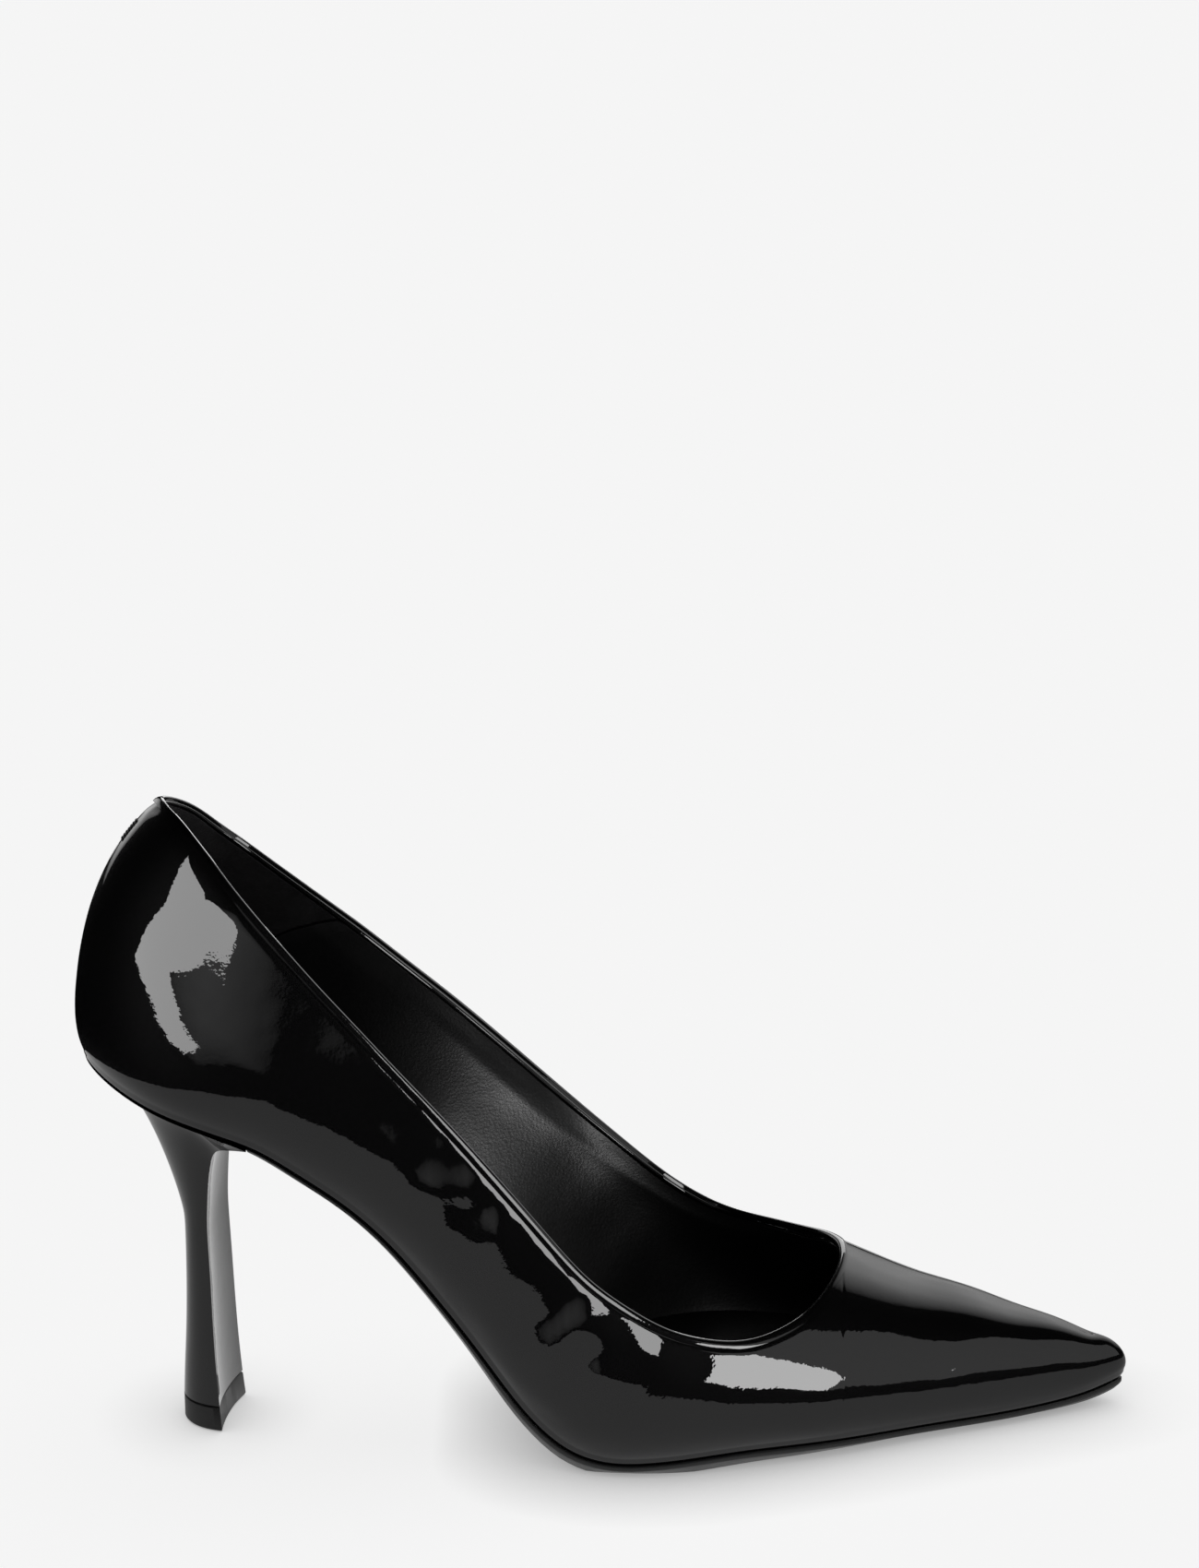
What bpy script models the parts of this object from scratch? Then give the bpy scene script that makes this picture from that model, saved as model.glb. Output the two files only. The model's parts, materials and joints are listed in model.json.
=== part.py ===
"""High heel pump, right shoe, as separate pieces.

Lengths are millimetres until a mesh is written, then metres.
X runs from the back of the counter to the toe, Y is negative on the outer side
of the foot, and Z is up from the ground.
"""
import math

import bmesh
import bpy
import numpy as np

for old in list(bpy.data.objects):
    bpy.data.objects.remove(old, do_unlink=True)

MM = 0.001
OUTER, INNER = -1, 1

# Overall shape
SHOE_BACK = 2.4
SHOE_TIP = 237.0
HEEL_PIVOT = 30.0
TOE_PIVOT = 229.0
HEEL_BLEND = 5.0
TOE_BLEND = 2.5
FRAME_SHIFT = (119.07, -0.39, 0.0)

# Height of the lower edge of the bottom, along X
BOTTOM_EDGE = [(-10, 89.2), (0, 87.4), (8, 84.9), (18, 81.6), (27, 78.9), (34, 76.5), (41, 73.6), (50, 67.7),
               (60, 60.3), (70, 50.7), (79, 39.7), (89, 26.5), (98.5, 13.7), (103.5, 8.5), (108.5, 4.8),
               (113, 2.8), (119, 1.6), (128, 1.7), (137, 2.4), (147, 2.9), (160, 2.8), (180, 2.3),
               (198, 1.9), (210, 1.8), (219, 2.0), (229, 3.0), (237, 4.9), (250, 8)]
# Middle of the sole outline in Y
MIDDLE = [(0, 0.8), (30, -2.6), (60, -5), (90, -5), (120, -2), (150, 0.5), (180, 2.5), (210, 3.3),
          (237, 3.5)]
# Half widths of the sole outline on each side of its middle
OUTER_HALF = [(6, 9.8), (13, 16.8), (24, 21.8), (38, 22), (60, 20), (80, 21), (100, 26.3), (118, 31.7),
              (134, 33.4), (150, 31.2), (170, 26.7), (190, 19.8), (210, 12.8), (225, 6.9), (233, 3.4)]
INNER_HALF = [(6, 9.8), (13, 16.8), (24, 22.4), (38, 23), (60, 20.5), (80, 20), (100, 22.5), (118, 28),
              (134, 32.3), (150, 32), (170, 26.8), (190, 19.6), (210, 12), (225, 6.4), (233, 3.2)]
# Height of the closed top line of the upper; behind the throat it is only a guide
RIDGE = [(0, 160), (30, 171), (50, 166), (70, 146), (90, 117), (110, 89), (130, 64.5), (150, 48.5),
         (172, 38.7), (190, 30.8), (203, 26.8), (212, 23.5), (222, 20.2), (229, 16.7)]
# Fullness of the cross section: 2 is an ellipse, more is squarer
FULLNESS = [(0, 3.2), (30, 4.2), (60, 4.8), (90, 4.2), (120, 3.0), (150, 2.4), (172, 2.2), (200, 2.6),
            (237, 2.0)]
# Swell of the wall above the sole edge on each side, and the height where it is largest
OUTER_SWELL = [(0, 1.5), (40, 2.6), (80, 3.2), (120, 3.2), (150, 2.4), (180, 1.3), (210, 0.8), (237, 0.5)]
INNER_SWELL = [(0, 1.5), (40, 4.5), (70, 11), (95, 14), (115, 12.5), (135, 7), (160, 2.5), (200, 0.9),
               (237, 0.5)]
OUTER_SWELL_HEIGHT = [(0, 9), (40, 13), (80, 18), (110, 15), (140, 10), (180, 7), (237, 4)]
INNER_SWELL_HEIGHT = [(0, 9), (40, 30), (70, 68), (95, 80), (115, 60), (135, 30), (160, 12), (180, 7),
                      (237, 4)]
# The back of the counter leans forward by this much at this height above the seat
LEAN = 16.3
LEAN_HEIGHT = 61.0
LEAN_POWER = 3.5
LEAN_FADE = (18.0, 60.0)

# Topline height against the station along the sole outline
THROAT = 171.5
OUTER_TOPLINE = [(0, 148.9), (6, 147.9), (14, 144.5), (22, 140.1), (30, 135.5), (40, 128.9), (50, 120.3),
                 (60, 109.7), (72, 96.1), (84, 82.9), (96, 69.1), (106, 57.1), (114, 48.1), (122, 41.7),
                 (132, 35.5), (142, 31.9), (150, 30.6), (158, 31.7), (165, 34.5), (169, 37.2), (171.5, 38.9)]
INNER_TOPLINE = [(0, 148.9), (6, 145.6), (14, 141.3), (22, 136.1), (30, 131.6), (40, 125.9), (50, 119.5),
                 (60, 112.2), (72, 101.9), (84, 91.1), (96, 79.2), (106, 68.8), (114, 60.7), (122, 53.1),
                 (132, 44.5), (142, 38.6), (150, 36.7), (158, 36.7), (165, 37), (169, 38), (171.5, 38.9)]

# Heights above the lower edge of the bottom, measured square to it
FEATHER = 3.4
SOLE_TOP = 1.5
MARGIN = (1.75, 2.85)
BOARD = (3.1, 4.3)
PAD = (4.7, 6.1)
SOCK = (6.35, 6.95)

# Insets of the wall layers from the outside of the upper
LEATHER = 0.8
STIFFENER = (1.05, 1.65)
LINING = (1.9, 2.5)
LINING_AT_TOP = (1.0, 1.7)
BOTTOM_INSET = 2.8
SOLE_INSET = 0.5
MARGIN_WIDTH = 8.0
MARGIN_SHARE = 0.42
TOP_DROP = 1.0
SEAM_GAP = 0.3
# The lining thins towards the topline, but not within this distance of the throat
THROAT_EASE = 22.0

# Stations along the shoe, grouped so that curves get more of them
HEEL_STATIONS = 6
WAIST_STATIONS = [35, 40, 54, 66, 78, 90, 102, 114, 126, 138, 150]
THROAT_STATIONS = [157, 163, 167.5, 170.2, 171.3, 173.0]
VAMP_STATIONS = [180, 190, 200, 210, 220, 229]
TOE_STATIONS = 4
ROWS = [0, 0.12, 0.3, 0.5, 0.7, 0.86, 1]

# Stations where pieces meet
QUARTER_SEAM = 102
LINING_SEAM = 54
COUNTER_END = 66
PUFF_START = 200
BREAST = 40

# Topline binding: overlap past each wall face, and its section below and above the edge
BINDING_LAP = 0.15
BINDING_DEPTH = 0.7
BINDING_RISE = 0.5

# Heel: height, middle of the breast line X and Y, half width, depth behind the breast
HEEL_ROWS = [(0, 33.7, -2.5, 9.5, 11.2), (5.8, 33.2, -2.4, 9.2, 10.7), (20, 32.3, -2.2, 8.9, 8.9),
             (35, 31.8, -1.9, 8.5, 7.8), (50, 31.2, -1.6, 8.2, 7.1)]
HEEL_TWIST = math.radians(-12)
BREAST_HOLLOW = 0.9
HEEL_ROUNDNESS = 0.85
# The heel flares from the shaft to the seat: how sharply, at its back and at its breast, how far it
# hangs below the seat where it turns forward at the breast, and how thick its rim is
CUP_STEPS = [0.04, 0.09, 0.15, 0.22, 0.31, 0.43, 0.6, 0.8, 1]
CUP_POWER = (2.5, 10.0)
CUP_SPREAD = 0.7
CUP_SHELF = 10.0
CUP_RIM = 1.3
COVER = 0.7
CORE_INSET = 1.0
TOP_PIECE_HEIGHT = 5.8
DOWEL = {"x": 26.6, "y": -1.1, "radius": 1.4, "bore": 0.85, "low": 6.4, "high": 50.0}
PIN = {"radius": 0.55, "high": 16.0, "head_radius": 3.0, "head_low": 2.4, "head_high": 3.4}
SCREW = {"x": 29.5, "y": -1.8, "radius": 1.5, "head_radius": 3.0, "length": 15.0}
NAIL = {"radius": 0.7, "head_radius": 1.4, "length": 6.5}
NAIL_SPOTS = [(19.5, -6.5), (19.5, 3.5), (27.5, -8.7), (27.5, 4.4)]
RIVET = {"radius": 1.2, "head_radius": 2.4}
RIVET_STATIONS = [54, 78]
CLEARANCE = 0.25
# Height of the fastener heads above the bottom edge, and how far the dowel hole runs out below the dowel
HEAD_HEIGHT = BOARD[1] - 0.3
DOWEL_MOUTH = 2.0

# Sole tread, shank and filler
TREAD_CROWN = [(40, 1.0), (88, 1.2), (112, 3.1), (150, 3.1), (180, 1.8), (237, 0.8)]
TREAD_EDGE = 5.5
TREAD_EDGE_SHARE = 0.35
SHANK_SPAN = (22.9, 90.0)
SHANK_HALF = 5.0
TOE_EASE = (190, 229)
SOCK_TOE_INSET = 1.3
FILLER_START = 102
FILLER_END = 220

SHARP_ANGLE = math.radians(35)
COLOURS = {
    "patent": ((0.012, 0.011, 0.012), 0.06, 0.0),
    "suede": ((0.03, 0.028, 0.028), 0.9, 0.0),
    "lining": ((0.02, 0.019, 0.019), 0.45, 0.0),
    "fibre": ((0.42, 0.30, 0.18), 0.85, 0.0),
    "cloth": ((0.45, 0.43, 0.40), 0.9, 0.0),
    "foam": ((0.70, 0.66, 0.58), 0.9, 0.0),
    "cork": ((0.35, 0.22, 0.12), 0.9, 0.0),
    "steel": ((0.55, 0.55, 0.56), 0.35, 1.0),
    "brass": ((0.70, 0.52, 0.25), 0.3, 1.0),
    "plastic": ((0.10, 0.10, 0.10), 0.5, 0.0),
    "rubber": ((0.02, 0.02, 0.02), 0.6, 0.0),
    "thread": ((0.02, 0.02, 0.022), 0.7, 0.0),
}


def spline(points, closed=False):
    """Cubic spline through rows of (position, value, ...)."""
    rows = np.asarray(points, float)
    at, values = rows[:, 0], rows[:, 1:]
    step, count = np.diff(at), len(at)
    matrix = np.zeros((count, count))
    right = np.zeros_like(values)
    matrix[0, 0] = matrix[-1, -1] = 1
    for i in range(1, count - 1):
        matrix[i, i - 1:i + 2] = step[i - 1], 2 * (step[i - 1] + step[i]), step[i]
        right[i] = 6 * ((values[i + 1] - values[i]) / step[i] - (values[i] - values[i - 1]) / step[i - 1])
    if closed:
        matrix[0, -1] = -1
        matrix[-1] = 0
        matrix[-1, [0, 1, -2, -1]] = 2 * step[0], step[0], step[-1], 2 * step[-1]
        right[-1] = 6 * ((values[1] - values[0]) / step[0] - (values[-1] - values[-2]) / step[-1])
    bend = np.linalg.solve(matrix, right)

    def value(query):
        query = np.asarray(query, float)
        flat = np.atleast_1d(query).ravel()
        i = np.clip(np.searchsorted(at, flat) - 1, 0, count - 2)
        a = ((at[i + 1] - flat) / step[i])[:, None]
        b = 1 - a
        width = step[i][:, None]
        out = a * values[i] + b * values[i + 1]
        out = out + ((a ** 3 - a) * bend[i] + (b ** 3 - b) * bend[i + 1]) * width ** 2 / 6
        if values.shape[1] == 1:
            return out[:, 0].reshape(query.shape)
        return out.reshape(query.shape + (values.shape[1],))

    return value


bottom_edge = spline(BOTTOM_EDGE)
middle = spline(MIDDLE)
ridge = spline(RIDGE)
fullness = spline(FULLNESS)
swell = {OUTER: spline(OUTER_SWELL), INNER: spline(INNER_SWELL)}
swell_height = {OUTER: spline(OUTER_SWELL_HEIGHT), INNER: spline(INNER_SWELL_HEIGHT)}
topline = {OUTER: spline(OUTER_TOPLINE), INNER: spline(INNER_TOPLINE)}


def sole_outline():
    """Plan outline of each side as (x values, y values), from back to tip."""
    start = (SHOE_BACK, float(middle(SHOE_BACK)))
    outer = [(x, float(middle(x)) - half) for x, half in OUTER_HALF]
    inner = [(x, float(middle(x)) + half) for x, half in INNER_HALF]
    tip = (SHOE_TIP, float(middle(SHOE_TIP)))
    loop = np.array([start] + outer + [tip] + inner[::-1] + [start])
    along = np.concatenate([[0], np.cumsum(np.linalg.norm(np.diff(loop, axis=0), axis=1))])
    curve = spline(np.column_stack([along, loop]), closed=True)
    turn = along[len(outer) + 1]
    sides = {}
    for side, end in ((OUTER, 0.0), (INNER, along[-1])):
        line = curve(np.linspace(end, turn, 4000))
        sides[side] = np.maximum.accumulate(line[:, 0]), line[:, 1]
    return sides


OUTLINE = sole_outline()


def pivot(x):
    """Middle point that the cross section at a station is built around."""
    ahead = HEEL_PIVOT + HEEL_BLEND * np.log1p(np.exp((x - HEEL_PIVOT) / HEEL_BLEND))
    return TOE_PIVOT - TOE_BLEND * np.log1p(np.exp((TOE_PIVOT - ahead) / TOE_BLEND))


def level(x, height):
    """Z of the curve that stays a fixed height square to the bottom edge."""
    along = np.linspace(-10, 250, 1301)
    edge = bottom_edge(along)
    slope = np.gradient(edge, along)
    length = np.sqrt(1 + slope ** 2)
    return np.interp(x, along - height * slope / length, edge + height / length)


def plan(x, side, inset=0.0):
    """Plan point of the sole outline, its cross section middle, and the reach between them."""
    x = np.asarray(x, float)
    edge = np.stack([x, np.interp(x, *OUTLINE[side])], -1)
    centre = np.stack([pivot(x), middle(pivot(x))], -1)
    reach = np.linalg.norm(edge - centre, axis=-1)[..., None]
    return edge + (centre - edge) * (inset / reach), centre, reach


def bottom_point(x, side, inset, height):
    """Point at a height above the bottom edge, inset from the sole outline."""
    spot = plan(x, side, inset)[0]
    return np.array([spot[0], spot[1], level(spot[0], height)])


def wall(x, v, side, inset=0.0):
    """Point of the upper: v runs from 0 at the sole edge to 1 at the closed ridge."""
    x, v = np.broadcast_arrays(np.asarray(x, float), np.asarray(v, float))
    foot, centre, reach = plan(x, side, inset)
    low = level(foot[..., 0], FEATHER)
    turn = v * math.pi / 2
    rise = (ridge(centre[..., 0]) - inset - low) * np.sin(turn)
    spread = np.clip(np.cos(turn), 0, 1) ** (2 / fullness(x))
    part = rise / swell_height[side](x)
    hump = swell[side](x) * part * np.exp(1 - part) * np.clip(reach[..., 0] / 6, 0, 1)
    spot = centre + (foot - centre) * (spread[..., None] + hump[..., None] / reach)
    fade = np.clip((x - LEAN_FADE[0]) / (LEAN_FADE[1] - LEAN_FADE[0]), 0, 1)
    lean = LEAN * (rise / LEAN_HEIGHT) ** LEAN_POWER * (1 - fade * fade * (3 - 2 * fade))
    return np.stack([spot[..., 0] + lean, spot[..., 1], low + rise], -1)


def top_v(x, side):
    """Where the topline crosses the cross section at a station."""
    x = np.asarray(x, float)
    foot, centre, reach = plan(x, side)
    low = level(foot[..., 0], FEATHER)
    part = (topline[side](np.minimum(x, THROAT)) - low) / (ridge(centre[..., 0]) - low)
    return np.where(x >= THROAT, 1.0, np.arcsin(np.clip(part, 0, 1)) * 2 / math.pi)


# ---- Meshes
def station_list():
    """Stations from the back of the heel to the tip of the toe."""
    heel_turn = np.linspace(0, math.pi / 2, HEEL_STATIONS + 1)
    toe_turn = np.linspace(0, math.pi / 2, TOE_STATIONS + 1)[1:]
    heel = SHOE_BACK + (HEEL_PIVOT - SHOE_BACK) * (1 - np.cos(heel_turn))
    toe = TOE_PIVOT + (SHOE_TIP - TOE_PIVOT) * np.sin(toe_turn)
    return list(heel) + WAIST_STATIONS + THROAT_STATIONS + VAMP_STATIONS + list(toe)


STATIONS = station_list()
LAST = len(STATIONS) - 1
TOP_ROW = len(ROWS) - 1
JOIN = STATIONS.index(THROAT_STATIONS[-1])


def station_index(x):
    return int(np.argmin(np.abs(np.array(STATIONS) - x)))


def topline_curve(side, count=160):
    """Points of the topline on one side, from the back to the throat."""
    x = np.concatenate([np.linspace(SHOE_BACK, 150, count), np.linspace(150, THROAT, count)[1:]])
    return wall(x, top_v(x, side), side)


TOPLINE_POINTS = {side: topline_curve(side) for side in (OUTER, INNER)}


def edge_v(x, side):
    """Where the leather stops, a set distance below the topline."""
    if x >= THROAT_STATIONS[-1]:
        return 1.0
    v = np.linspace(0.3, float(top_v(x, side)), 300)
    points = wall(x, v, side)
    away = np.linalg.norm(points[:, None] - TOPLINE_POINTS[side][None], axis=2).min(axis=1)
    return float(v[np.nonzero(away >= TOP_DROP)[0][-1]])


EDGE_V = {(side, i): edge_v(x, side) for side in (OUTER, INNER) for i, x in enumerate(STATIONS)}


def wall_point(side, i, row, inset, x=None):
    """Point on a wall layer at a station and row, or at a nearby x for a seam."""
    at = side or OUTER
    return wall(STATIONS[i] if x is None else x, ROWS[row] * EDGE_V[at, i], at, inset)


def margin_inset(x):
    reach = plan(x, OUTER)[2][0]
    return min(MARGIN_WIDTH, MARGIN_SHARE * reach)


def margin_point(side, i, row, outside, x=None):
    """Point of the part of the upper that is folded under the sole edge (rows below 0)."""
    at = side or OUTER
    x = STATIONS[i] if x is None else x
    low, high = MARGIN
    if row == -1:
        inset, height = (0.25, low + 0.7) if outside else (LEATHER + 0.4, high + 0.1)
    elif row == -2:
        inset, height = (1.2, low) if outside else (1.7, high)
    else:
        inset, height = margin_inset(x), low if outside else high
    return bottom_point(x, at, inset, height)


def link(name, vertices, faces, colour):
    """Write one closed body as an object with its own material."""
    data = bpy.data.meshes.new(name)
    body = bmesh.new()
    shift = np.array(FRAME_SHIFT)
    knots = [body.verts.new(tuple((np.array(v, float) - shift) * MM)) for v in vertices]
    for face in faces:
        corners = []
        for index in face:
            if knots[index] not in corners:
                corners.append(knots[index])
        if len(corners) > 2:
            body.faces.new(corners)
    bmesh.ops.remove_doubles(body, verts=body.verts, dist=1e-6)
    bmesh.ops.recalc_face_normals(body, faces=body.faces)
    body.to_mesh(data)
    body.free()
    thing = bpy.data.objects.new(name, data)
    bpy.context.scene.collection.objects.link(thing)
    paint = bpy.data.materials.new(name + "_material")
    paint.use_nodes = True
    shader = paint.node_tree.nodes["Principled BSDF"]
    tint, rough, metal = COLOURS[colour]
    shader.inputs["Base Color"].default_value = (*tint, 1.0)
    shader.inputs["Roughness"].default_value = rough
    shader.inputs["Metallic"].default_value = metal
    data.materials.append(paint)
    data.shade_smooth()
    data.set_sharp_from_angle(angle=SHARP_ANGLE)
    return thing


def sheet(name, cells, outside, inside, colour, key):
    """Close a set of grid cells into a body between an outside and an inside surface."""
    index, vertices, faces, edges = {}, [], [], {}

    def corner(side, i, row):
        knot = key(side, i, row)
        if knot not in index:
            index[knot] = len(vertices)
            vertices.append(outside(*knot))
            vertices.append(inside(*knot))
        return index[knot]

    for side, i, row in cells:
        loop = [corner(side, i, row), corner(side, i + 1, row),
                corner(side, i + 1, row + 1), corner(side, i, row + 1)]
        if side == INNER:
            loop.reverse()
        split = loop if side != INNER else loop[1:] + loop[:1]
        faces += [[split[0], split[1], split[2]], [split[0], split[2], split[3]]]
        faces += [[split[2] + 1, split[1] + 1, split[0] + 1], [split[3] + 1, split[2] + 1, split[0] + 1]]
        for a, b in zip(loop, loop[1:] + loop[:1]):
            if a != b:
                edges[a, b] = True
    for a, b in edges:
        if (b, a) not in edges:
            faces.append([b, a, a + 1, b + 1])
    return link(name, vertices, faces, colour)


def wall_key(join_back):
    """Shared name of grid corners that both sides of the shoe have in common."""
    def key(side, i, row):
        if i == LAST or (row == TOP_ROW and i >= JOIN) or (join_back and i == 0):
            return 0, i, row
        return side, i, row
    return key


def span_cells(side, first, last, low, high):
    return [(side, i, row) for i in range(first, last) for row in range(low, high)]


def seam_x(i, seams):
    """Station moved by half the gap when it is the edge of a piece."""
    return STATIONS[i] + seams.get(i, 0.0)


def upper_piece(name, cells, seams, part_back):
    """Outer leather: the wall plus the margin folded under the sole edge."""
    def surface(outside):
        def point(side, i, row):
            x = seam_x(i, seams.get(side, {})) if side else STATIONS[i]
            if row < 0:
                spot = margin_point(side, i, row, outside, x)
            else:
                spot = wall_point(side, i, row, 0.0 if outside else LEATHER, x)
            if i == 0:
                spot = spot + np.array([0, side * part_back, 0])
            return spot
        return point
    return sheet(name, cells, surface(True), surface(False), "patent", wall_key(False))


def layer_piece(name, cells, insets, colour, seams, join_back=True, top_insets=None):
    """Stiffener or lining layer between two insets of the wall."""
    def surface(which):
        def point(side, i, row):
            x = seam_x(i, seams)
            inset = insets[which]
            if top_insets and row == TOP_ROW and i < JOIN:
                ease = np.clip((THROAT_STATIONS[-1] - x) / THROAT_EASE, 0, 1)
                inset += (top_insets[which] - inset) * ease
            return wall_point(side, i, row, inset, x)
        return point
    return sheet(name, cells, surface(0), surface(1), colour, wall_key(join_back))


def build_upper():
    quarter = station_index(QUARTER_SEAM)
    lining = station_index(LINING_SEAM)
    counter = station_index(COUNTER_END)
    puff = station_index(PUFF_START)
    half = SEAM_GAP / 2
    low = -3
    cells = span_cells(OUTER, 0, LAST, low, TOP_ROW) + span_cells(INNER, quarter, LAST, low, TOP_ROW)
    upper_piece("vamp", cells, {INNER: {quarter: half}}, half)
    cells = span_cells(INNER, 0, quarter, low, TOP_ROW)
    upper_piece("medial_quarter", cells, {INNER: {quarter: -half}}, half)

    both = (OUTER, INNER)
    cells = [c for side in both for c in span_cells(side, 0, counter, 0, TOP_ROW - 1)]
    layer_piece("heel_counter", cells, STIFFENER, "fibre", {counter: -half})
    cells = [c for side in both for c in span_cells(side, counter, JOIN, 0, TOP_ROW - 1)]
    cells += [c for side in both for c in span_cells(side, JOIN, puff, 0, TOP_ROW)]
    layer_piece("vamp_interlining", cells, STIFFENER, "cloth", {counter: half, puff: -half})
    cells = [c for side in both for c in span_cells(side, puff, LAST, 0, TOP_ROW)]
    layer_piece("toe_puff", cells, STIFFENER, "fibre", {puff: half})
    cells = [c for side in both for c in span_cells(side, 0, lining, 0, TOP_ROW)]
    layer_piece("heel_lining", cells, LINING, "suede", {lining: -half}, top_insets=LINING_AT_TOP)
    cells = [c for side in both for c in span_cells(side, lining, LAST, 0, TOP_ROW)]
    layer_piece("vamp_lining", cells, LINING, "lining", {lining: half}, top_insets=LINING_AT_TOP)


def binding_loop():
    """Topline as one loop: outside and inside points of its edge."""
    open_stations = STATIONS[:JOIN] + [THROAT]
    outer = [(x, OUTER) for x in open_stations]
    inner = [(x, INNER) for x in open_stations[-2:0:-1]]
    outside, inside = [], []
    for x, side in outer + inner:
        v = float(top_v(x, side))
        ease = np.clip((THROAT_STATIONS[-1] - x) / THROAT_EASE, 0, 1)
        inset = LINING[1] + (LINING_AT_TOP[1] - LINING[1]) * ease
        outside.append(wall(x, v, side))
        inside.append(wall(x, v, side, inset))
    return np.array(outside), np.array(inside)


def build_binding():
    outside, inside = binding_loop()
    ahead = np.roll(outside, -1, axis=0) - np.roll(outside, 1, axis=0)
    across = inside - outside
    width = np.linalg.norm(across, axis=1)
    across = across / width[:, None]
    up = np.cross(ahead, across)
    up = up / np.linalg.norm(up, axis=1)[:, None]
    vertices, faces = [], []
    for spot, side_way, up_way, wide in zip(outside, across, up, width):
        section = [(-0.1, -BINDING_DEPTH), (-BINDING_LAP, 0.1), (0.3, BINDING_RISE),
                   (wide - 0.3, BINDING_RISE), (wide + BINDING_LAP, 0.1), (wide + 0.1, -BINDING_DEPTH)]
        for a, b in section:
            vertices.append(spot + side_way * a + up_way * b)
    count, corners = len(outside), 6
    for i in range(count):
        for k in range(corners):
            a, b = i * corners, (i + 1) % count * corners
            n = (k + 1) % corners
            faces.append([a + k, b + k, b + n, a + n])
    link("topline_binding", vertices, faces, "patent")


def build_bartack():
    """Short bar of stitches across the back seam, just under the topline."""
    x = SHOE_BACK
    vertices, faces = [], []
    rows = [0.80, 0.85, 0.90]
    for part in rows:
        v = part * EDGE_V[OUTER, 0]
        for inset, y in ((-0.2, -1.4), (-0.6, -1.1), (-0.6, 1.1), (-0.2, 1.4)):
            spot = wall(x, v, OUTER, inset)
            vertices.append(spot + np.array([0, y, 0]))
    for i in range(len(rows) - 1):
        for k in range(4):
            n = (k + 1) % 4
            faces.append([i * 4 + k, i * 4 + n, i * 4 + 4 + n, i * 4 + 4 + k])
    faces.append([0, 1, 2, 3])
    faces.append([8, 9, 10, 11])
    link("back_bartack", vertices, faces, "thread")


def slab(name, xs, ring, colour):
    """Body swept along stations; ring(x) gives its corners in order."""
    rings = [ring(x) for x in xs]
    corners = len(rings[0])
    vertices = [p for r in rings for p in r]
    faces = []
    for i in range(len(xs) - 1):
        for k in range(corners):
            n = (k + 1) % corners
            a, b = i * corners, (i + 1) * corners
            faces.append([a + k, a + n, b + n, b + k])
    if np.ptp(np.array(rings[0])[:, 1]) > 0.01:
        faces.append(list(range(corners)))
    if np.ptp(np.array(rings[-1])[:, 1]) > 0.01:
        faces.append([(len(xs) - 1) * corners + k for k in range(corners)])
    return link(name, vertices, faces, colour)


def board_ring(inset, heights, toe=0.0):
    """Corners of a layer across the bottom; toe adds inset where the toe closes in."""
    low, high = heights
    full = inset

    def ring(x):
        inset = full + toe * np.clip((x - TOE_EASE[0]) / (TOE_EASE[1] - TOE_EASE[0]), 0, 1)
        return [bottom_point(x, OUTER, inset, high), bottom_point(x, OUTER, inset, low),
                bottom_point(x, INNER, inset, low), bottom_point(x, INNER, inset, high)]
    return ring


def strip_ring(half, heights):
    low, high = heights

    def ring(x):
        y = float(middle(x))
        return [np.array([x, y - half, level(x, high)]), np.array([x, y - half, level(x, low)]),
                np.array([x, y + half, level(x, low)]), np.array([x, y + half, level(x, high)])]
    return ring


def sole_ring(x):
    crown = float(spline(TREAD_CROWN)(x))
    reach = plan(x, OUTER)[2][0]
    edge = min(TREAD_EDGE, TREAD_EDGE_SHARE * reach)
    section = [(SOLE_INSET, SOLE_TOP), (SOLE_INSET, 0.0), (edge, -crown)]
    corners = []
    for side, rows in ((OUTER, section), (INNER, section[::-1])):
        for inset, height in rows:
            spot = bottom_point(x, side, inset, height)
            spot[2] = max(spot[2], 0.0)
            corners.append(spot)
    return corners


def build_bottom():
    board = slab("insole_board", STATIONS, board_ring(BOTTOM_INSET, BOARD), "fibre")
    short = [x for x in STATIONS if x <= TOE_PIVOT]
    slab("footbed_pad", short, board_ring(BOTTOM_INSET + 0.3, PAD, SOCK_TOE_INSET), "foam")
    slab("sock_lining", short, board_ring(BOTTOM_INSET, SOCK, SOCK_TOE_INSET), "lining")
    front = [x for x in STATIONS if x > BREAST]
    slab("outsole", [BREAST + SEAM_GAP] + front, sole_ring, "rubber")

    def filler_ring(x):
        return board_ring(margin_inset(x) + 0.5, MARGIN)(x)
    slab("bottom_filler", [x for x in STATIONS if FILLER_START <= x <= FILLER_END], filler_ring, "cork")
    span = [x for x in STATIONS if SHANK_SPAN[0] - 1 < x <= SHANK_SPAN[1]]
    shank = slab("steel_shank", span, strip_ring(SHANK_HALF, MARGIN), "steel")
    return board, shank


def heel_shape(z):
    """Breast line middle, half width and depth of the heel at a height."""
    rows = np.array(HEEL_ROWS)
    return [float(spline(rows[:, [0, k]])(z)) for k in (1, 2, 3, 4)]


SEAT_STATIONS = [x for x in STATIONS if x <= BREAST]


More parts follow.
